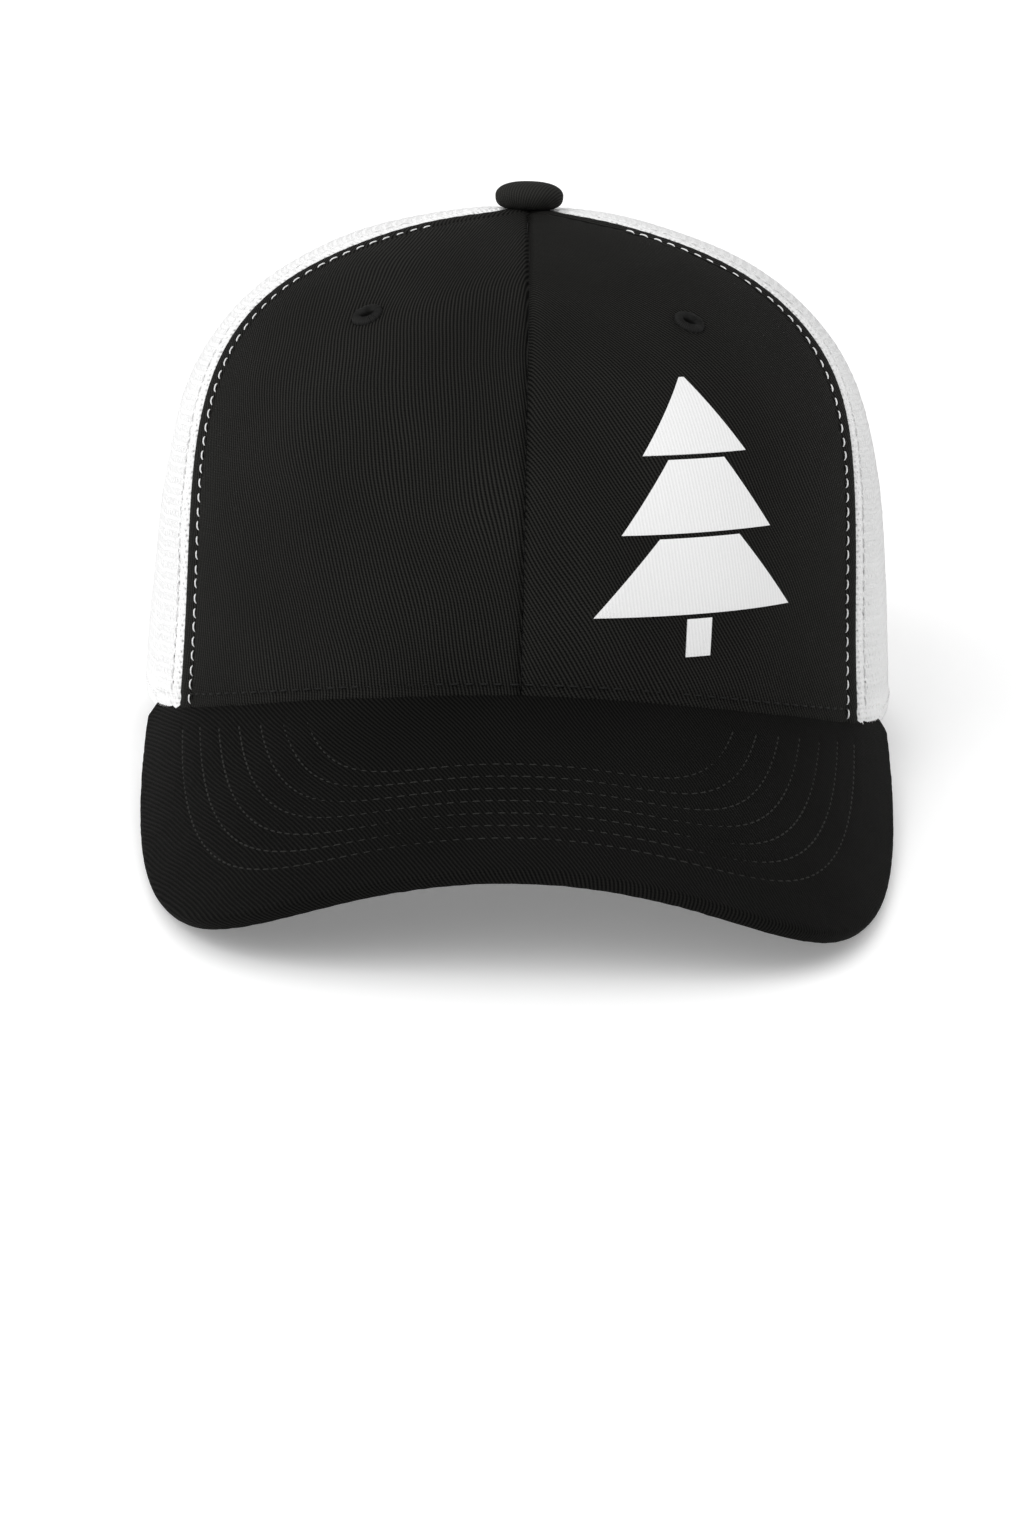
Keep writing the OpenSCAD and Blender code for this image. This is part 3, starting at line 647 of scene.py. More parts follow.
def net_panel(name, k0, k1, node, stitched, seed):
    """A knitted net, laid out flat in rows and wrapped on the crown, with its threads as geometry."""
    panel = Panel(k0, k1, SEAT_RISE, arch=False)
    radius = NET_PITCH / math.sqrt(3)
    row_step = radius * 1.5
    top = panel.height[-1]
    wide = panel.width.max() / 2
    rows = int(top / row_step) + 2
    cols = int(wide / NET_PITCH) + 2
    r, c = np.meshgrid(np.arange(rows), np.arange(-cols, cols + 1), indexing="ij")
    cx = c * NET_PITCH + (r % 2) * NET_PITCH / 2
    cy = r * row_step
    half = np.interp(cy, panel.height, panel.width) / 2
    keep = (np.abs(cx) < half + 0.35 * NET_PITCH) & (cy < top)
    cx, cy = cx[keep], cy[keep]
    # the six threads of a cell meet at its corners, which its neighbours share
    turn = np.radians(np.arange(6) * 60 + 30)
    kx, ky = cx[:, None] + radius * np.cos(turn), cy[:, None] + radius * np.sin(turn)
    keys = np.round(np.stack([kx / (NET_PITCH / 2), ky / (radius / 2)], -1)).astype(np.int64)
    keys = keys.reshape(-1, 2)
    _, first, index = np.unique(keys, axis=0, return_index=True, return_inverse=True)
    index = index.reshape(-1, 6)
    nx, ny = kx.ravel()[first], ky.ravel()[first]
    # holes close up under the seam allowances and at the hem
    edge = np.interp(cy, panel.height, panel.width) / 2 - np.abs(cx)
    close = smooth((edge - 3.0) / 3.2) * smooth((cy - 4.5) / 2.0)
    hole = NET_HOLE * (0.15 + 0.85 * close)
    rng = np.random.default_rng(seed)
    hole = hole * rng.uniform(0.93, 1.07, len(hole))
    # a knit pulls its holes a little taller than wide
    hx = cx[:, None] + hole[:, None] * np.cos(turn) * 0.92
    hy = cy[:, None] + hole[:, None] * np.sin(turn) * 1.1

    def to_crown(x, y, out):
        v = np.interp(y, panel.height, panel.v)
        width = np.interp(v, panel.v, panel.width)
        u = np.clip(0.5 + x / width, 0.0, 1.0)
        phi, s = panel.at(u, v)
        a, b = u * width, (1 - u) * width
        relief = 0.14 * waves(x, y, seed + 1, 34.0) - 0.5 * bell(y, 1.0) - 0.2 * bell(y - HEM_RISE, 0.8)
        for k, d in ((k0, a), (k1, b)):
            if k in stitched:
                relief = relief + side_relief(d, MESH_STITCH) + 1.4 * pucker(d, MESH_STITCH, y, seed)
                relief = relief + 0.1 * waves(x * 2, y, seed + 2, 2.6) * bell(d - 2.5, 2.2)
            else:
                relief = relief - 0.6 * bell(d, 1.0)
        relief = relief + apex_rise(panel, u, v, 0.6)
        return crown(phi, s, relief + out), phi, s

    knot = 0.1 * rng.uniform(-1, 1, len(nx))
    rib = 0.07 * np.cos(2 * math.pi * (nx + 0.35 * ny) / (NET_PITCH * 2))
    upper, phi, s = to_crown(nx, ny, 0.08 + knot * 0.5 + rib)
    lower, _, _ = to_crown(nx, ny, np.full(len(nx), -0.72))
    middle, _, _ = to_crown(hx.ravel(), hy.ravel(), np.full(hx.size, -0.32))
    n, m = len(nx), hx.size
    ring = 2 * n + np.arange(m).reshape(-1, 6)
    near = np.roll(ring, -1, axis=1)
    corner = np.roll(index, -1, axis=1)
    faces = np.concatenate([
        np.stack([index, corner, near, ring], -1).reshape(-1, 4),
        np.stack([corner + n, index + n, ring, near], -1).reshape(-1, 4),
    ])
    points = np.concatenate([upper, lower, middle])
    flat = np.concatenate([np.stack([nx, ny], -1)] * 2 + [np.stack([hx.ravel(), hy.ravel()], -1)])
    # the back opening is cut out of it
    a = np.abs(phi)
    z = CROWN_H * np.clip(raw(phi, s)[:, 2] / CROWN_H, 0, 1)
    spot = ((180 - a) / ARCH_DEG) ** 2 + (np.maximum(z - CROWN_GAP, 0) / ARCH_H) ** 2
    cut = spot < 1.0
    gone = np.repeat(cut[index].any(1), 6)
    shape = Shape()
    shape.add(points, faces[~np.concatenate([gone, gone])], flat)
    used = np.unique(shape.faces[0])
    fresh = np.full(len(points), -1)
    fresh[used] = np.arange(len(used))
    shape.points[0], shape.uvs[0] = points[used], flat[used]
    shape.faces[0] = fresh[shape.faces[0]]
    shape.count = len(used)
    return build(name, shape, white_net, nodes=[node])


net_panel("side_net_left", 1, 2, "side_mesh_left", (1,), 31)
net_panel("side_net_right", -2, -1, "side_mesh_right", (-1,), 41)
net_panel("back_net_left", 2, 3, "back_mesh_left", (), 51)
net_panel("back_net_right", -3, -2, "back_mesh_right", (), 61)


# ------------------------------------------------------------------ seams and threads
TAPE_W = 13.0
tape_thread = {"white": Shape(), "black": Shape()}


def seam_tape(name, k, rise, colour, node):
    low = float(s_at(seam(k, 0.0), edge_z(seam(k, 0.0)) + rise))
    f = np.linspace(0, 1, 90)
    s = lerp(low, 0.955, 1 - (1 - f) ** 1.35)[:, None]
    phi = seam(k, s)
    centre = raw(phi, s)
    half = np.minimum(TAPE_W / 2, 0.45 * np.hypot(centre[..., 0], centre[..., 1]))
    across = np.linspace(-1, 1, 15)[None, :]
    along = path_marks(centre[:, 0])[:, None]
    edge = 0.12 * waves(along, across * 30, 7 + k, 22.0)
    crease = 0.5 * bell(across * 6, 1.2) + 0.12 * waves(along, across * 9, 17 + k, 13.0)
    shape = Shape()
    uv = np.stack(np.broadcast_arrays(along, across * half), -1)
    shape.shell(crown(phi, s, -2.0 + crease, across * half + edge),
                crown(phi, s, -2.45 + crease, across * half + edge), uv)
    build(name, shape, white_tape if colour == "white" else black_tape, nodes=[node])
    for sign in (-1, 1):
        side = sign * (half[:, 0] - 1.4)
        path = crown(phi[:, 0], s[:, 0], -2.5, side)
        _, _, normal = axes(phi[:, 0], s[:, 0])
        stitches(tape_thread[colour], path, -normal, seed=70 + 3 * k + sign, radius=0.22, lift=0.1)


# the back tape starts higher, above the back opening
for tape in (("front", 0, 3.0, "black"), ("front_left", 1, 3.0, "white"),
             ("front_right", -1, 3.0, "white"), ("back_left", 2, 3.0, "white"),
             ("back_right", -2, 3.0, "white"), ("back", 3, 9.0, "white")):
    seam_tape("inner_tape_" + tape[0], *tape[1:], "seam_tape_" + tape[0])
build("tape_stitches_white", tape_thread["white"], white_thread)
build("tape_stitches_black", tape_thread["black"], black_thread)


def seam_stitches(name, k, side, node, seed):
    low = float(s_at(seam(k, 0.0), edge_z(seam(k, 0.0))))
    s = np.linspace(low, 0.9, 400)
    phi = seam(k, s)
    shape = Shape()
    stitches(shape, crown(phi, s, -0.22, side), axes(phi, s)[2], seed=seed, radius=0.21,
             skew=0.35 * np.sign(side), lift=0.2)
    build(name, shape, white_thread, nodes=[node])


seam_stitches("panel_stitches_left", 1, -PANEL_STITCH, "panel_topstitch_left", 81)
seam_stitches("panel_stitches_right", -1, PANEL_STITCH, "panel_topstitch_right", 82)
seam_stitches("mesh_stitches_left", 1, MESH_STITCH, "mesh_topstitch_left", 83)
seam_stitches("mesh_stitches_right", -1, -MESH_STITCH, "mesh_topstitch_right", 84)


def hem_path(rise, out, start, end):
    phi = np.linspace(start, end, 900)
    s = s_at(phi, edge_z(phi) + rise)
    return crown(phi, s, out), axes(phi, s)[2]


hem, net_hem = Shape(), Shape()
stitches(hem, *hem_path(HEM_RISE, -0.22, -FRONT_SEAM, FRONT_SEAM), seed=85, radius=0.24, lift=0.16)
for sign in (-1, 1):
    path = hem_path(HEM_RISE, -0.22, sign * FRONT_SEAM, sign * (180 - ARCH_DEG - 9))
    stitches(net_hem, *path, seed=86 + sign, radius=0.26, lift=0.18, margin=1.6)
build("hem_stitches_front", hem, black_thread, nodes=["hem_stitching"])
build("hem_stitches_net", net_hem, white_thread)


# ------------------------------------------------------------------ eyelets
def eyelet(name, side, node, seed):
    centre, along, up, normal = eyelet_axes(side)
    threads, per = 46, 6
    theta = np.linspace(0, 2 * math.pi, threads * per, endpoint=False)
    rng = np.random.default_rng(seed)
    a = math.radians(SLIT_ANGLE * side)
    lx, ly = np.cos(theta - a), np.sin(theta - a)
    inner = 1 / np.sqrt((lx / SLIT_LONG) ** 2 + (ly / SLIT_SHORT) ** 2)
    jitter = np.repeat(rng.uniform(-1, 1, threads), per)
    outer = 3.35 + 0.1 * jitter + 0.12 * np.cos(2 * (theta - a))
    t = np.linspace(0, math.pi, 13)
    share = (1 - np.cos(t)) / 2
    radius = lerp(inner[None, :], outer[None, :], share[:, None])
    thread = np.abs(np.cos(theta * threads / 2))
    height = -0.25 + 1.0 * np.sin(t)[:, None] ** 0.7 * (0.86 + 0.16 * thread + 0.05 * jitter)[None, :]
    swirl = theta[None, :] + 0.12 * share[:, None]
    points = (
        centre
        + (radius * np.cos(swirl))[..., None] * along
        + (radius * np.sin(swirl))[..., None] * up
        + height[..., None] * normal
    )
    sunk = points[-1:] - 0.9 * normal
    deep = points[:1] - 1.0 * normal
    rows = np.concatenate([deep, points, sunk])
    climb = np.linspace(0, 3, len(rows))[:, None]
    uv = np.stack(np.broadcast_arrays(theta[None, :] * 2.3, climb), -1)
    shape = Shape()
    shape.grid(rows, uv, wrap=True, flip=True)
    build(name, shape, black_thread, nodes=[node])


eyelet("eyelet_ring_left", 1, "eyelet_left", 91)
eyelet("eyelet_ring_right", -1, "eyelet_right", 92)


# ------------------------------------------------------------------ emblem
EMBLEM_PANEL = Panel(0, 1, SEAT_RISE)


def tier(shape, z0, z1, half0, half1):
    rows, cols = max(8, int((z1 - z0) * 1.5)), 61
    i, f = np.linspace(0, 1, rows), np.linspace(-1, 1, cols)
    z = EMBLEM_Z + lerp(z0, z1, i)[:, None]
    half = lerp(half0, half1, i)[:, None]
    mid = EMBLEM_DEG + EMBLEM_TURN * (z - EMBLEM_Z) / EMBLEM_H
    s = s_at(mid, z)
    per = np.linalg.norm(raw(mid + 0.5, s) - raw(mid - 0.5, s), axis=-1)
    phi = mid + f[None, :] * half / per
    at = s_at(phi, z)
    relief = 0.16 * waves(*panel_flat(EMBLEM_PANEL, phi, at), 14, 38.0)
    uv = ribs(f[None, :] * half, z + 0 * phi, 100.0)
    shape.shell(crown(phi, at, relief + 0.34), crown(phi, at, relief - 0.25), uv, edge=0.12)


def panel_flat(panel, phi, s):
    """The flat place of points on the crown, by searching the panel's rows and columns."""
    v = np.linspace(0, 1, 200)
    _, mid = panel.at(0.5, v)
    at = np.interp(s, mid, v)
    low, high = seam(panel.k0, s), seam(panel.k1, s)
    return panel.flat((phi - low) / (high - low), at)


tree = Shape()
for numbers in ((0, 8, 3, 3), (9, 25, 25, 10), (26, 41, 19, 7), (42, EMBLEM_H, 13, 0.6)):
    tier(tree, *numbers)
build("emblem_film", tree, film, nodes=["emblem"], sharp=50)


# ------------------------------------------------------------------ button
def button():
    z0 = CROWN_H - APEX_DIP + 0.35 + BUTTON_HALF_H
    t = np.linspace(-0.47 * math.pi, 0.5 * math.pi, 34)
    theta = np.linspace(0, 2 * math.pi, 144, endpoint=False)
    lift = np.sin(t) * BUTTON_HALF_H
    r = BUTTON_R * np.cos(t) ** np.where(t > 0, 0.7, 0.32)
    r[-1] = 0.02
    low = smooth(-np.sin(t) * 1.6)[:, None]
    pleat = 0.1 * low * np.cos(14 * theta)[None, :] + 0.03 * waves(theta * 8, theta * 0, 3, 5.0)[None, :]
    radius = r[:, None] + pleat * (r[:, None] / BUTTON_R)
    points = np.stack([
        radius * np.cos(theta), radius * np.sin(theta), z0 + lift[:, None] + 0 * theta,
    ], -1)
    arc = path_marks(np.stack([r, lift, 0 * r], -1))
    reach = (arc[-1] - arc)[:, None]
    uv = ribs(reach * np.cos(theta), reach * np.sin(theta), 70.0)
    shape = Shape()
    shape.grid(points, uv, wrap=True)
    build("button_cloth", shape, button_twill, nodes=["button_cover"])


button()


# ------------------------------------------------------------------ visor
BILL_RIBS = 115.0
UNDER_HEM, COVER_T, TOP_EDGE, UNDER_EDGE = 1.1, 0.6, 1.6, 3.2


def crown_w(u):
    """How far forward the crown's lower edge lies on the visor."""
    bend = np.degrees(u / BEND_R)
    share = np.clip(BEND_R * sin(bend) / HALF_W, -1, 1)
    return inner_w(bend, HALF_L * np.sqrt(1 - share ** 2))


def row_relief(u, w, inset):
    """Channels along the stitch rows, and the cloth standing up between them."""
    number = np.clip(np.round((inset - ROW_FIRST) / ROW_PITCH), 0, ROWS - 1)
    off = inset - ROW_FIRST - number * ROW_PITCH
    live = smooth((w - crown_w(u) - ROW_CLEAR + 2) / 3)
    puff = bell(np.minimum(np.abs(off), ROW_PITCH / 2) - ROW_PITCH / 2, 1.6)
    inside = (inset > ROW_FIRST - 3) & (inset < ROW_FIRST + ROW_PITCH * (ROWS - 0.5))
    return live * (0.04 * puff * inside - 0.12 * bell(off, 0.5))


def visor_grid(steps, inset_edge, cols=281):
    v = np.linspace(-1, 1, cols)
    v = np.sign(v) * (1 - (1 - np.abs(v)) ** 1.25)
    # the cloth runs on under the crown's hem, so nothing shows between the two
    iu, iw = inner_uw(v, VISOR_TUCK + UNDER_HEM)
    eu, ew = edge_uw(v, inset_edge)
    f = np.linspace(0, 1, steps)[:, None]
    return v, lerp(iu[None], eu[None], f), lerp(iw[None], ew[None], f)


def visor_covers():
    v, u, w = visor_grid(150, TOP_EDGE)
    relief = row_relief(u, w, inset_of(u, w)) + 0.07 * waves(u, w, 101, 26.0)
    relief = relief + 0.02 * waves(u, w, 102, 3.0)
    rows, flats = [visor(u, w, -relief)], [np.stack([u, w], -1)]
    start = np.stack(edge_uw(v, TOP_EDGE), -1)
    outward = unit(np.stack(edge_uw(v, 0.0), -1) - start)
    # round the edge: crisp above, full in front, turned under below
    wrap = ((1.0, 0.03), (0.55, 0.16), (0.22, 0.45), (0.05, 0.95), (0.0, 1.7), (0.05, 2.4),
            (0.25, 2.95), (0.6, 3.25), (1.1, 3.36), (1.8, 3.42), (2.6, 3.42), (3.1, 3.3))
    arc = 0.0
    last = (TOP_EDGE, 0.0)
    for inset_now, down in wrap:
        eu, ew = edge_uw(v, inset_now)
        arc += math.hypot(inset_now - last[0], down - last[1])
        last = (inset_now, down)
        ripple = 0.05 * waves(eu, ew, 103, 4.0)
        rows.append(visor(eu[None], ew[None], down + ripple[None]))
        flats.append((start + outward * arc)[None])
    face = np.concatenate(rows)
    flat = np.concatenate(flats)
    uv = ribs(flat[..., 0], -flat[..., 1], BILL_RIBS)
    back_rows = [visor(u, w, COVER_T)]
    for inset_now, down in wrap:
        eu, ew = edge_uw(v, inset_now + (COVER_T if inset_now < 1.2 else 0.15))
        back_rows.append(visor(eu[None], ew[None], min(max(down, 0.7), VISOR_T - 0.75)))
    back = np.concatenate(back_rows)
    shape = Shape()
    shape.shell(face, back, uv)
    build("bill_cloth_top", shape, bill_twill_painted_shade, nodes=["visor_top_cover"])

    v, u, w = visor_grid(120, UNDER_EDGE)
    relief = row_relief(u, w, inset_of(u, w)) + 0.06 * waves(u, w, 104, 24.0)
    face = visor(u, w, VISOR_T - 0.05 + relief)
    back = visor(u, w, VISOR_T - 0.65)
    shape = Shape()
    shape.shell(back, face, ribs(u, w, 62.0))
    build("bill_cloth_under", shape, bill_twill_painted_shade, nodes=["visor_under_cover"])


visor_covers()


def visor_rows():
    upper, under = Shape(), Shape()
    for k in range(ROWS):
        inset = ROW_FIRST + ROW_PITCH * k
        v = np.linspace(-0.9, 0.9, 1600)
        u, w = edge_uw(v, inset)
        keep = w > crown_w(u) + ROW_CLEAR
        u, w = u[keep], w[keep]
        for shape, down, sign in ((upper, 0.22, -1), (under, VISOR_T - 0.25, 1)):
            normal = unit(visor(u, w, 0.0) - visor(u, w, 1.0)) * -sign
            stitches(shape, visor(u, w, down), normal, seed=110 + k + (8 if sign > 0 else 0),
                     pitch=2.6, length=2.2, radius=0.2, lift=0.08)
    build("bill_stitches_top", upper, bill_thread, nodes=["visor_stitching"])
    build("bill_stitches_under", under, bill_thread)


visor_rows()


# ------------------------------------------------------------------ inside of the cap
def band(name, reach, profile, node, material, seed, steps=420, flat_turn=0.0):
    """A band round the inside. The profile gives height above the hem and place outwards."""
    phi = np.linspace(-reach, reach, steps)[None, :]
    rise = np.array([p[0] for p in profile])[:, None]
    out = np.array([p[1] for p in profile])[:, None]
    base = edge_z(phi)
    s = s_at(phi, np.maximum(base + rise, 0.05))
    along = path_marks(raw(phi[0], s_at(phi[0], base[0] + 5)))[None, :]
    height = path_marks(np.array([[p[0], p[1], 0] for p in profile]))[:, None]
    soft = smooth(rise / 6)
    ripple = 0.14 * waves(along, height * 0.5, seed, 24.0) + 0.05 * waves(along, height, seed + 1, 5.0)
    ripple = soft * ripple
    drop = np.minimum(base + rise, 0.0)
    face = crown(phi, s, out + ripple)
    face[..., 2] += drop
    thick = crown(phi, s, out + ripple + 0.55)
    thick[..., 2] += drop
    shape = Shape()
    uv = np.stack(np.broadcast_arrays(along, height), -1)
    shape.shell(thick, face, ribs(uv[..., 0], uv[..., 1], 45.0 + flat_turn))
    build(name, shape, material, nodes=[node] if node else ())


band("sweatband_cloth", 143.0,
     [(0.4, -1.9), (0.0, -2.2), (-0.25, -2.9), (-0.25, -3.6), (-0.05, -4.4), (0.5, -4.95), (1.2, -5.15)]
     + [(h, -5.2 + 0.25 * math.exp(-((h - 4.4) / 1.2) ** 2)) for h in np.linspace(2.2, 31.2, 40)]
     + [(31.8, -5.0)],
     "sweatband", band_cloth, 121)
band("band_padding", 70.0, [(h, -4.4) for h in np.linspace(3, 28, 14)], "sweatband_padding",
     foam_jersey, 123, 200)


def inner_rows():
    shape = Shape()
    for rise, out, seed in ((4.4, -5.1, 131), (29.6, -5.32, 132)):
        points, normals = hem_path(rise, out, -141.5, 141.5)
        stitches(shape, points, -normals, seed=seed, radius=0.22, lift=0.12)
    build("band_stitches", shape, black_thread)


inner_rows()


def label():
    z = np.concatenate([[26.8, 26.9], np.linspace(26.4, 6, 26), [5.7, 6.2]])
    phi = np.linspace(100, 112, 33)
    grow = np.concatenate([[-5.35, -5.75], np.full(26, -5.95), [-5.9, -5.45]])
    p, h = np.meshgrid(phi, z)
    s = s_at(p, h)
    width = 0.16 * waves(p * 1.5, h, 141, 16.0)
    curl = -0.9 * smooth((14 - h) / 9)
    out = grow[:, None] + width + curl
    uv = np.stack([p * 1.5, h], -1)
    shape = Shape()
    shape.shell(crown(p, s, out + 0.25), crown(p, s, out), uv)
    build("blank_label", shape, label_satin, nodes=["care_label"])
    thread = Shape()
    row = np.linspace(100.4, 111.6, 80)
    at = s_at(row, 25.2)
    stitches(thread, crown(row, at, -6.0), -axes(row, at)[2], seed=142, radius=0.16, pitch=2.4,
             length=1.7, lift=0.08, margin=0.2)
    build("label_stitches", thread, white_thread)


label()


# ------------------------------------------------------------------ back opening
def arch_at(a, grow):
    """The place on the crown, as phi and s, a distance out from the opening's edge."""
    phi = 180 - (ARCH_DEG + np.degrees(grow / BACK_R)) * cos(a)
    return phi, s_at(phi, CROWN_GAP + (ARCH_H + grow) * sin(a))


def binding():
    section = [(7.0, 0.28), (6.9, 0.62), (6.4, 0.78), (5.8, 0.55), (5.2, 0.78), (3.5, 0.9), (1.5, 0.88),
               (0.2, 0.8), (-0.6, 0.6), (-1.05, 0.15), (-1.15, -0.35), (-1.0, -0.95), (-0.5, -1.45),
               (0.4, -1.62), (3.5, -1.66), (6.4, -1.6), (6.9, -1.45), (7.0, -1.1), (3.5, -1.05),
               (0.2, -1.0), (-0.35, -0.5), (-0.35, -0.2), (0.2, 0.15), (3.5, 0.24)]
    a = np.linspace(0, 180, 260)[:, None]
    grow = np.array([p[0] for p in section])[None, :]
    out = np.array([p[1] for p in section])[None, :]
    length = path_marks(crown(*arch_at(a[:, 0], 3.0), 0.0))[:, None]
    edge = 0.1 * waves(length, grow, 151, 12.0) * smooth((grow - 1) / 3)
    soft = 0.05 * waves(length, grow * 2, 152, 7.0)
    points = crown(*arch_at(a, grow + edge), out + soft)
    around = path_marks(np.array([[p[0], p[1], 0] for p in section]))[None, :]
    uv = np.stack(np.broadcast_arrays(length, around), -1)
    shape = Shape()
    shape.grid(points, uv, wrap=True, flip=True)
    n, k = points.shape[:2]
    shape.faces.append(np.arange(k)[None, :])
    shape.faces.append(((n - 1) * k + np.arange(k))[None, ::-1])
    build("opening_binding", shape, white_tape, nodes=["arch_binding"])
    thread = Shape()
    run = np.linspace(1.0, 179.0, 700)
    row = arch_at(run, 5.8)
    for out_now, sign, seed in ((0.5, 1, 153), (-1.66, -1, 154)):
        stitches(thread, crown(*row, out_now), sign * axes(*row)[2], seed=seed, radius=0.24, lift=0.14)
    build("binding_stitches", thread, white_thread)


binding()


# ------------------------------------------------------------------ snap strap
HOLE_STRAP_R = BACK_R - 4.2
PEG_STRAP_R = HOLE_STRAP_R - 1.6
SIDE_DEG = ARCH_DEG * math.sqrt(1 - ((STRAP_Z + STRAP_H + 1) / ARCH_H) ** 2)
HINGE_DEG = math.degrees(math.atan2(HALF_W * sin(SIDE_DEG), HALF_L * cos(SIDE_DEG) - BACK_Y)) - 2.6
HINGE_GAP, TAB_DEG = 0.75, 12.0
PITCH_DEG = math.degrees(PEG_PITCH / HOLE_STRAP_R)
FIRST_PEG, PEG_SETTING = -16.0, 5
HOLE_END, PEG_END = FIRST_PEG - 3.4, FIRST_PEG + PEG_SETTING * PITCH_DEG + 3.4
CELL = PEG_PITCH / 24


def arc_points(deg, r, z):
    return np.stack([r * sin(deg), BACK_Y + r * cos(deg), z + 0 * deg], -1)


def strip(name, start, end, r0, jog, holes, round_end, node, body, sign, extra=None):
    """A moulded strap as a grid that opens round its holes, with eased edges."""
    per = math.radians(1) * (r0 + STRAP_T / 2)
    length = abs(end - start) * per
    centres = [abs(h - start) * per for h in holes]
    if centres:
        first = centres[0] % CELL
        first = first if first > 0.4 else first + CELL
        x = np.concatenate([[0.0, 0.2], np.arange(first, length - 0.1, CELL)])
        x = np.concatenate([x[x < length - 0.5], [length - 0.2, length]])
    else:
        inner = np.linspace(0.6, length - 0.6, int(length / 0.6))
        x = np.concatenate([[0.0, 0.2], inner, [length - 0.2, length]])
    half = STRAP_H / 2
    z = np.arange(-25, 26) * CELL
    z = np.concatenate([[-half, -half + 0.2], z[(z > -half + 0.3) & (z < half - 0.3)], [half - 0.2, half]])
    gx, gz = np.meshgrid(x, z, indexing="ij")
    removed = np.zeros(gx.shape, bool)
    block, reach = 7, 12
    for cx in centres:
        kx = np.round((x - cx) / CELL)[:, None] + 0 * gz
        kz = np.round(z / CELL)[None, :] + 0 * gx
        ring = np.maximum(np.abs(kx), np.abs(kz))
        size = np.hypot(kx, kz)
        share = np.where(ring > 0, (reach - ring) / (reach - block), 0)
        touch = (ring >= block) & (ring < reach)
        radius = HOLE_R + (ring - block) * (3.55 - HOLE_R) / (reach - block)
        safe = np.maximum(size, 1e-9)
        tx, tz = cx + kx / safe * radius, kz / safe * radius
        gx = np.where(touch, lerp(gx, tx, share), gx)
        gz = np.where(touch, lerp(gz, tz, share), gz)
        removed |= ring < block
    corner = 5.0
    over = np.maximum(np.abs(gz) - (half - corner), 0)
    cut = corner - np.sqrt(np.maximum(corner ** 2 - over ** 2, 0))
    if round_end:
        near = smooth((gx - (length - 9)) / 9)
        gx = gx - cut * near
    rows, cols = gx.shape
    quads = grid_quads(rows, cols)
    quads = quads[~removed.ravel()[quads].any(1)]
    edges = np.concatenate([quads[:, [0, 1]], quads[:, [1, 2]], quads[:, [2, 3]], quads[:, [3, 0]]])
    seen = set(map(tuple, edges.tolist()))
    border = np.array([e for e in edges.tolist() if (e[1], e[0]) not in seen])
    on_border = np.zeros(rows * cols, bool)
    on_border[border.ravel()] = True
    ease = np.where(on_border, 0.28, 0.0).reshape(rows, cols)
    step = 0.12 * smooth((half - 1.3 - np.abs(gz)) / 0.3) * smooth((gx - 1.3) / 0.3)
    step = step * smooth((length - 1.3 - gx) / 0.3)
    deg = start + sign * gx / per
    base = r0 + jog * smooth(8 * gx / length)
    n = rows * cols
    high = arc_points(deg, base + STRAP_T - ease - 0.5 * step, STRAP_Z + half + gz).reshape(-1, 3)
    low = arc_points(deg, base + ease, STRAP_Z + half + gz).reshape(-1, 3)
    walls = np.stack([border[:, 1], border[:, 0], border[:, 0] + n, border[:, 1] + n], -1)
    faces = np.concatenate([quads, quads[:, ::-1] + n, walls])
    if sign < 0:
        faces = faces[:, ::-1]
    used = np.unique(faces)
    fresh = np.full(2 * n, -1)
    fresh[used] = np.arange(len(used))
    points = np.concatenate([high, low])[used]
    uv = np.concatenate([np.stack([gx, gz], -1).reshape(-1, 2)] * 2)[used]
    shape = Shape()
    # the arc runs clockwise seen from above, so the grid's faces look inwards until flipped
    shape.add(points, fresh[faces][:, ::-1], uv)
    if body != "root":
        bead(shape, start)
    if extra:
        extra(shape)
    return build(name, shape, strap_plastic, body=body, nodes=[node], sharp=60)


def bead(shape, deg):
    """The round bead that a strap turns on, with softly rounded ends."""
    centre = arc_points(np.array(deg), HOLE_STRAP_R + STRAP_T / 2, STRAP_Z)
    theta = np.linspace(0, 2 * math.pi, 24, endpoint=False)
    profile = ((0.02, 0.0), (0.35, 0.0), (0.52, 0.08), (0.6, 0.25), (0.6, 8.0), (0.6, 15.75),
               (0.52, 15.92), (0.35, 16.0), (0.02, 16.0))
    ring = np.stack([np.cos(theta), np.sin(theta), 0 * theta], -1)
    points = np.stack([centre + r * ring + np.array([0, 0, z]) for r, z in profile])
    uv = np.stack(np.broadcast_arrays(theta[None, :], np.array([p[1] for p in profile])[:, None]), -1)
    shape.grid(points, uv, wrap=True)


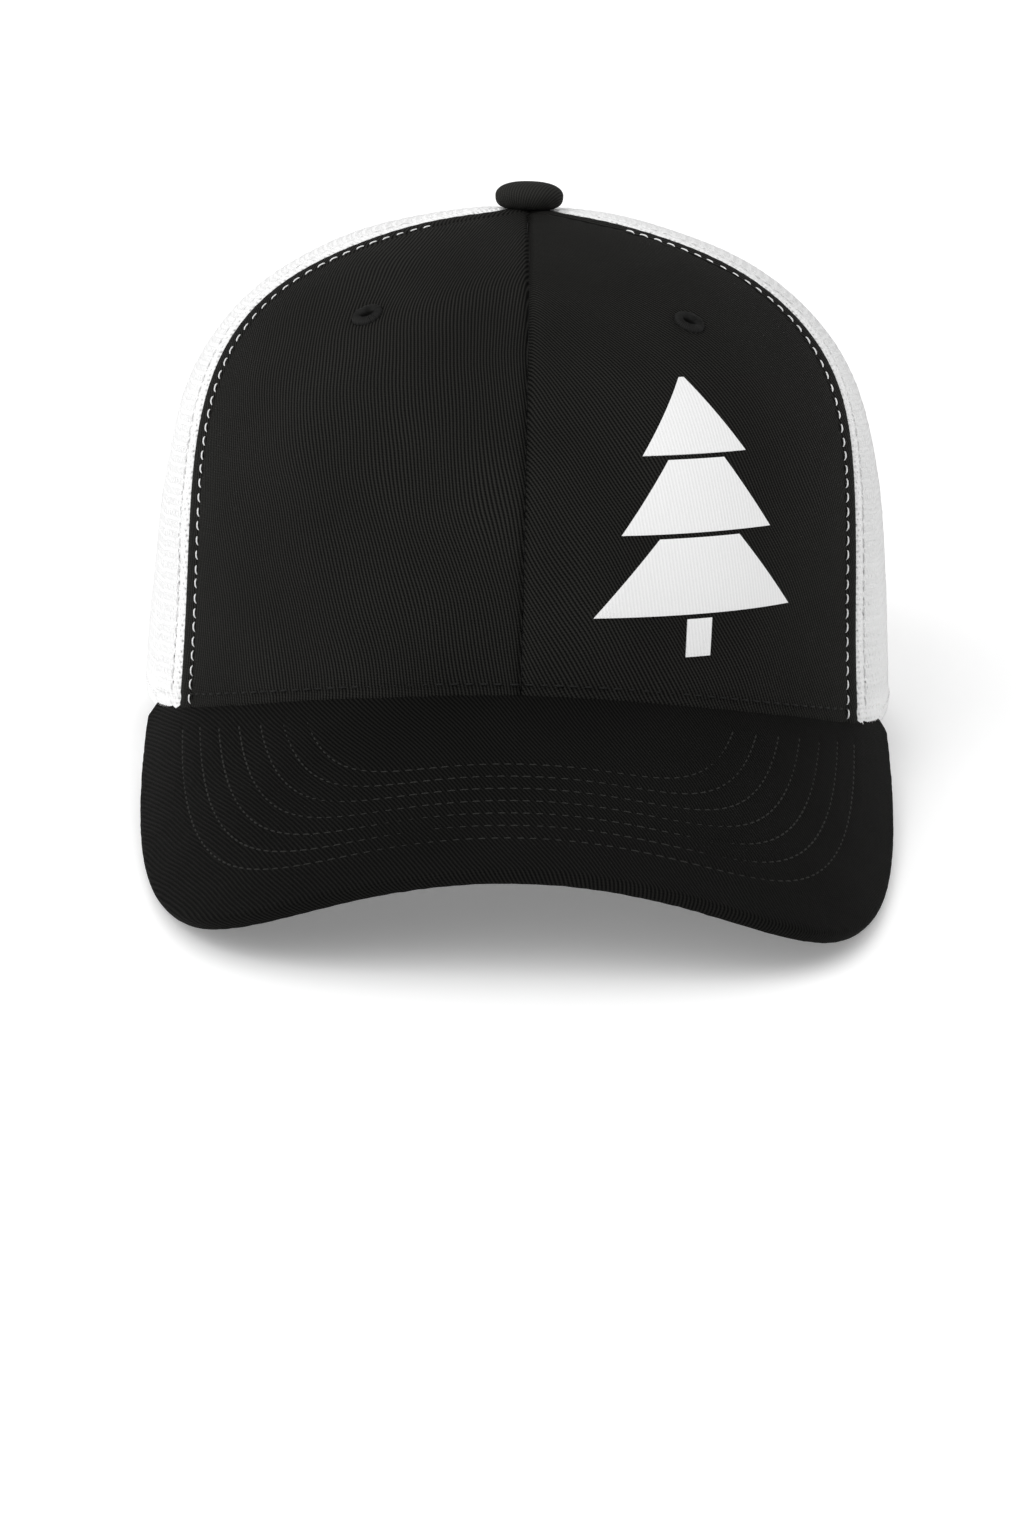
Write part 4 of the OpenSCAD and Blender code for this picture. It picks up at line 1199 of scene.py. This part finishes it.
def peg_heads(shape):
    """Pegs: a short shank with a rounded, waisted head and a shallow dimple."""
    outer = HOLE_STRAP_R + STRAP_T
    foot = PEG_STRAP_R + STRAP_T
    profile = [(2.2, foot - 0.25), (1.95, foot + 0.03), (1.76, foot + 0.2), (1.68, outer - 0.25),
               (1.7, outer), (1.79, outer + 0.1), (1.83, outer + 0.24), (1.8, outer + 0.42),
               (1.66, outer + 0.58), (1.4, outer + 0.67), (1.0, outer + 0.69), (0.5, outer + 0.64),
               (0.02, outer + 0.62)]
    theta = np.linspace(0, 2 * math.pi, 40, endpoint=False)
    r = np.array([p[0] for p in profile])[:, None]
    depth = np.array([p[1] for p in profile])[:, None]
    for i in range(PEGS):
        deg = FIRST_PEG + PITCH_DEG * (PEG_SETTING - i)
        out = np.array([float(sin(deg)), float(cos(deg)), 0.0])
        side = np.array([float(cos(deg)), -float(sin(deg)), 0.0])
        centre = np.array([0, BACK_Y, STRAP_Z + STRAP_H / 2])
        points = (
            centre + depth[..., None] * out + (r * np.cos(theta))[..., None] * side
            + (r * np.sin(theta))[..., None] * np.array([0, 0, 1.0])
        )
        uv = np.stack(np.broadcast_arrays(theta[None, :] * 2, depth), -1)
        shape.grid(points, uv, wrap=True)


strip("snap_strap_holes", HINGE_DEG, HOLE_END, HOLE_STRAP_R, 0.0,
      [FIRST_PEG + PITCH_DEG * (PEGS - 1 - i) for i in range(PEGS)], True, "hole_strap", "hole_strap", -1)
strip("snap_strap_pegs", -HINGE_DEG, PEG_END, HOLE_STRAP_R,
      PEG_STRAP_R - HOLE_STRAP_R, [], True, "peg_strap", "peg_strap", 1, extra=peg_heads)
strip("strap_end_holes", HINGE_DEG + HINGE_GAP, HINGE_DEG + TAB_DEG, HOLE_STRAP_R, 0.0, [], False,
      "hole_strap_tab", "root", 1)
strip("strap_end_pegs", -HINGE_DEG - HINGE_GAP, -HINGE_DEG - TAB_DEG, HOLE_STRAP_R, 0.0, [], False,
      "peg_strap_tab", "root", -1)


def strap_rows():
    """Thread that sews the strap's ends in, seen on the binding as two upright rows."""
    shape = Shape()
    for hand in (1, -1):
        for along, seed in ((7.2, 161), (8.9, 162)):
            deg = HINGE_DEG + along
            x, y = (BACK_R * sin(deg), BACK_Y + BACK_R * cos(deg))
            phi = hand * (180 - math.degrees(math.atan2(x / HALF_W, y / HALF_L)))
            z = np.linspace(STRAP_Z + 0.5, STRAP_Z + STRAP_H - 0.5, 60)
            at = s_at(phi, z)
            stitches(shape, crown(phi + 0 * z, at, 0.7), axes(phi + 0 * z, at)[2],
                     seed=seed + hand, pitch=2.4, length=1.8, radius=0.26, lift=0.14, margin=0.2)
    build("strap_stitches", shape, white_thread)


strap_rows()


# ------------------------------------------------------------------ CAD nodes that stay
def dress(node, material):
    mesh = frame["nodes"][node].data
    mesh.materials.clear()
    mesh.materials.append(material)


dress("visor_board", visor_plastic)
for node in ("button_shell", "button_rivet", "button_washer"):
    dress(node, pressed_steel)


# ------------------------------------------------------------------ floor, light and camera
def floor():
    mesh = bpy.data.meshes.new("floor")
    r = 80.0
    mesh.from_pydata([(-r, -r, 0), (r, -r, 0), (r, r, 0), (-r, r, 0)], [], [(0, 1, 2, 3)])
    g = Graph("floor_paper", Roughness=0.9, Specular_IOR_Level=0.1)
    tint = g.mix(g.noise(g.place(), 3.0, 2), (0.93, 0.93, 0.93), (0.95, 0.95, 0.95))
    g.set("Base Color", tint)
    g.set("Emission Color", (1, 1, 1, 1))
    g.set("Emission Strength", 0.2)
    mesh.materials.append(g.material)
    add_object("floor", mesh)


def sun(name, azimuth, elevation, strength, angle):
    """A soft sun. azimuth 0 is behind the camera, and grows towards the camera's right."""
    lamp = bpy.data.lights.new(name, "SUN")
    lamp.energy, lamp.angle = strength, math.radians(angle)
    obj = add_object(name, lamp)
    a, e = math.radians(azimuth), math.radians(elevation)
    towards = Vector((math.sin(a) * math.cos(e), -math.cos(a) * math.cos(e), math.sin(e)))
    obj.rotation_euler = towards.to_track_quat("Z", "Y").to_euler()


def stage():
    floor()
    sun("key", -46, 38, 1.22, 50)
    sun("top", -10, 70, 0.62, 70)
    world = bpy.data.worlds.new("studio")
    bpy.context.scene.world = world
    world.use_nodes = True
    tree = world.node_tree
    back, path = tree.nodes["Background"], tree.nodes.new("ShaderNodeLightPath")
    back.inputs[0].default_value = (1, 1, 1, 1)
    # the backdrop is seen as white, and lights the cap more softly
    level = tree.nodes.new("ShaderNodeMapRange")
    level.inputs["To Min"].default_value = 0.62
    level.inputs["To Max"].default_value = 1.0
    tree.links.new(path.outputs["Is Camera Ray"], level.inputs["Value"])
    tree.links.new(level.outputs[0], back.inputs[1])
    view = bpy.context.scene.view_settings
    view.view_transform, view.look = "Standard", "None"
    view.exposure, view.gamma = 0.0, 1.0


stage()

# The camera's eye and aim are points of the cap's own frame
CAM_EYE, CAM_AIM = np.array([-9.7, -1138.0, 220.7]), np.array([-0.8, 0.0, -18.9])
CAM_ROLL, CAM_LENS = 1.38, 117.2


def camera():
    look = unit(CAM_AIM - CAM_EYE)
    level = unit(np.cross(look, [0, 0, 1]))
    side = level * cos(CAM_ROLL) + np.cross(level, look) * sin(CAM_ROLL)
    top = np.cross(side, look)
    turn = np.array([[1, 0, 0], [0, TILT_COS, TILT_SIN], [0, -TILT_SIN, TILT_COS]])
    eye, axis_x, axis_y, axis_z = place(CAM_EYE), turn @ side, turn @ top, turn @ -look
    data = bpy.data.cameras.new("camera")
    data.sensor_width, data.lens, data.clip_end = 36.0, CAM_LENS, 400.0
    obj = add_object("camera", data)
    rows = [[axis_x[i], axis_y[i], axis_z[i], eye[i]] for i in range(3)]
    obj.matrix_world = Matrix(rows + [[0, 0, 0, 1]])
    bpy.context.scene.camera = obj


camera()
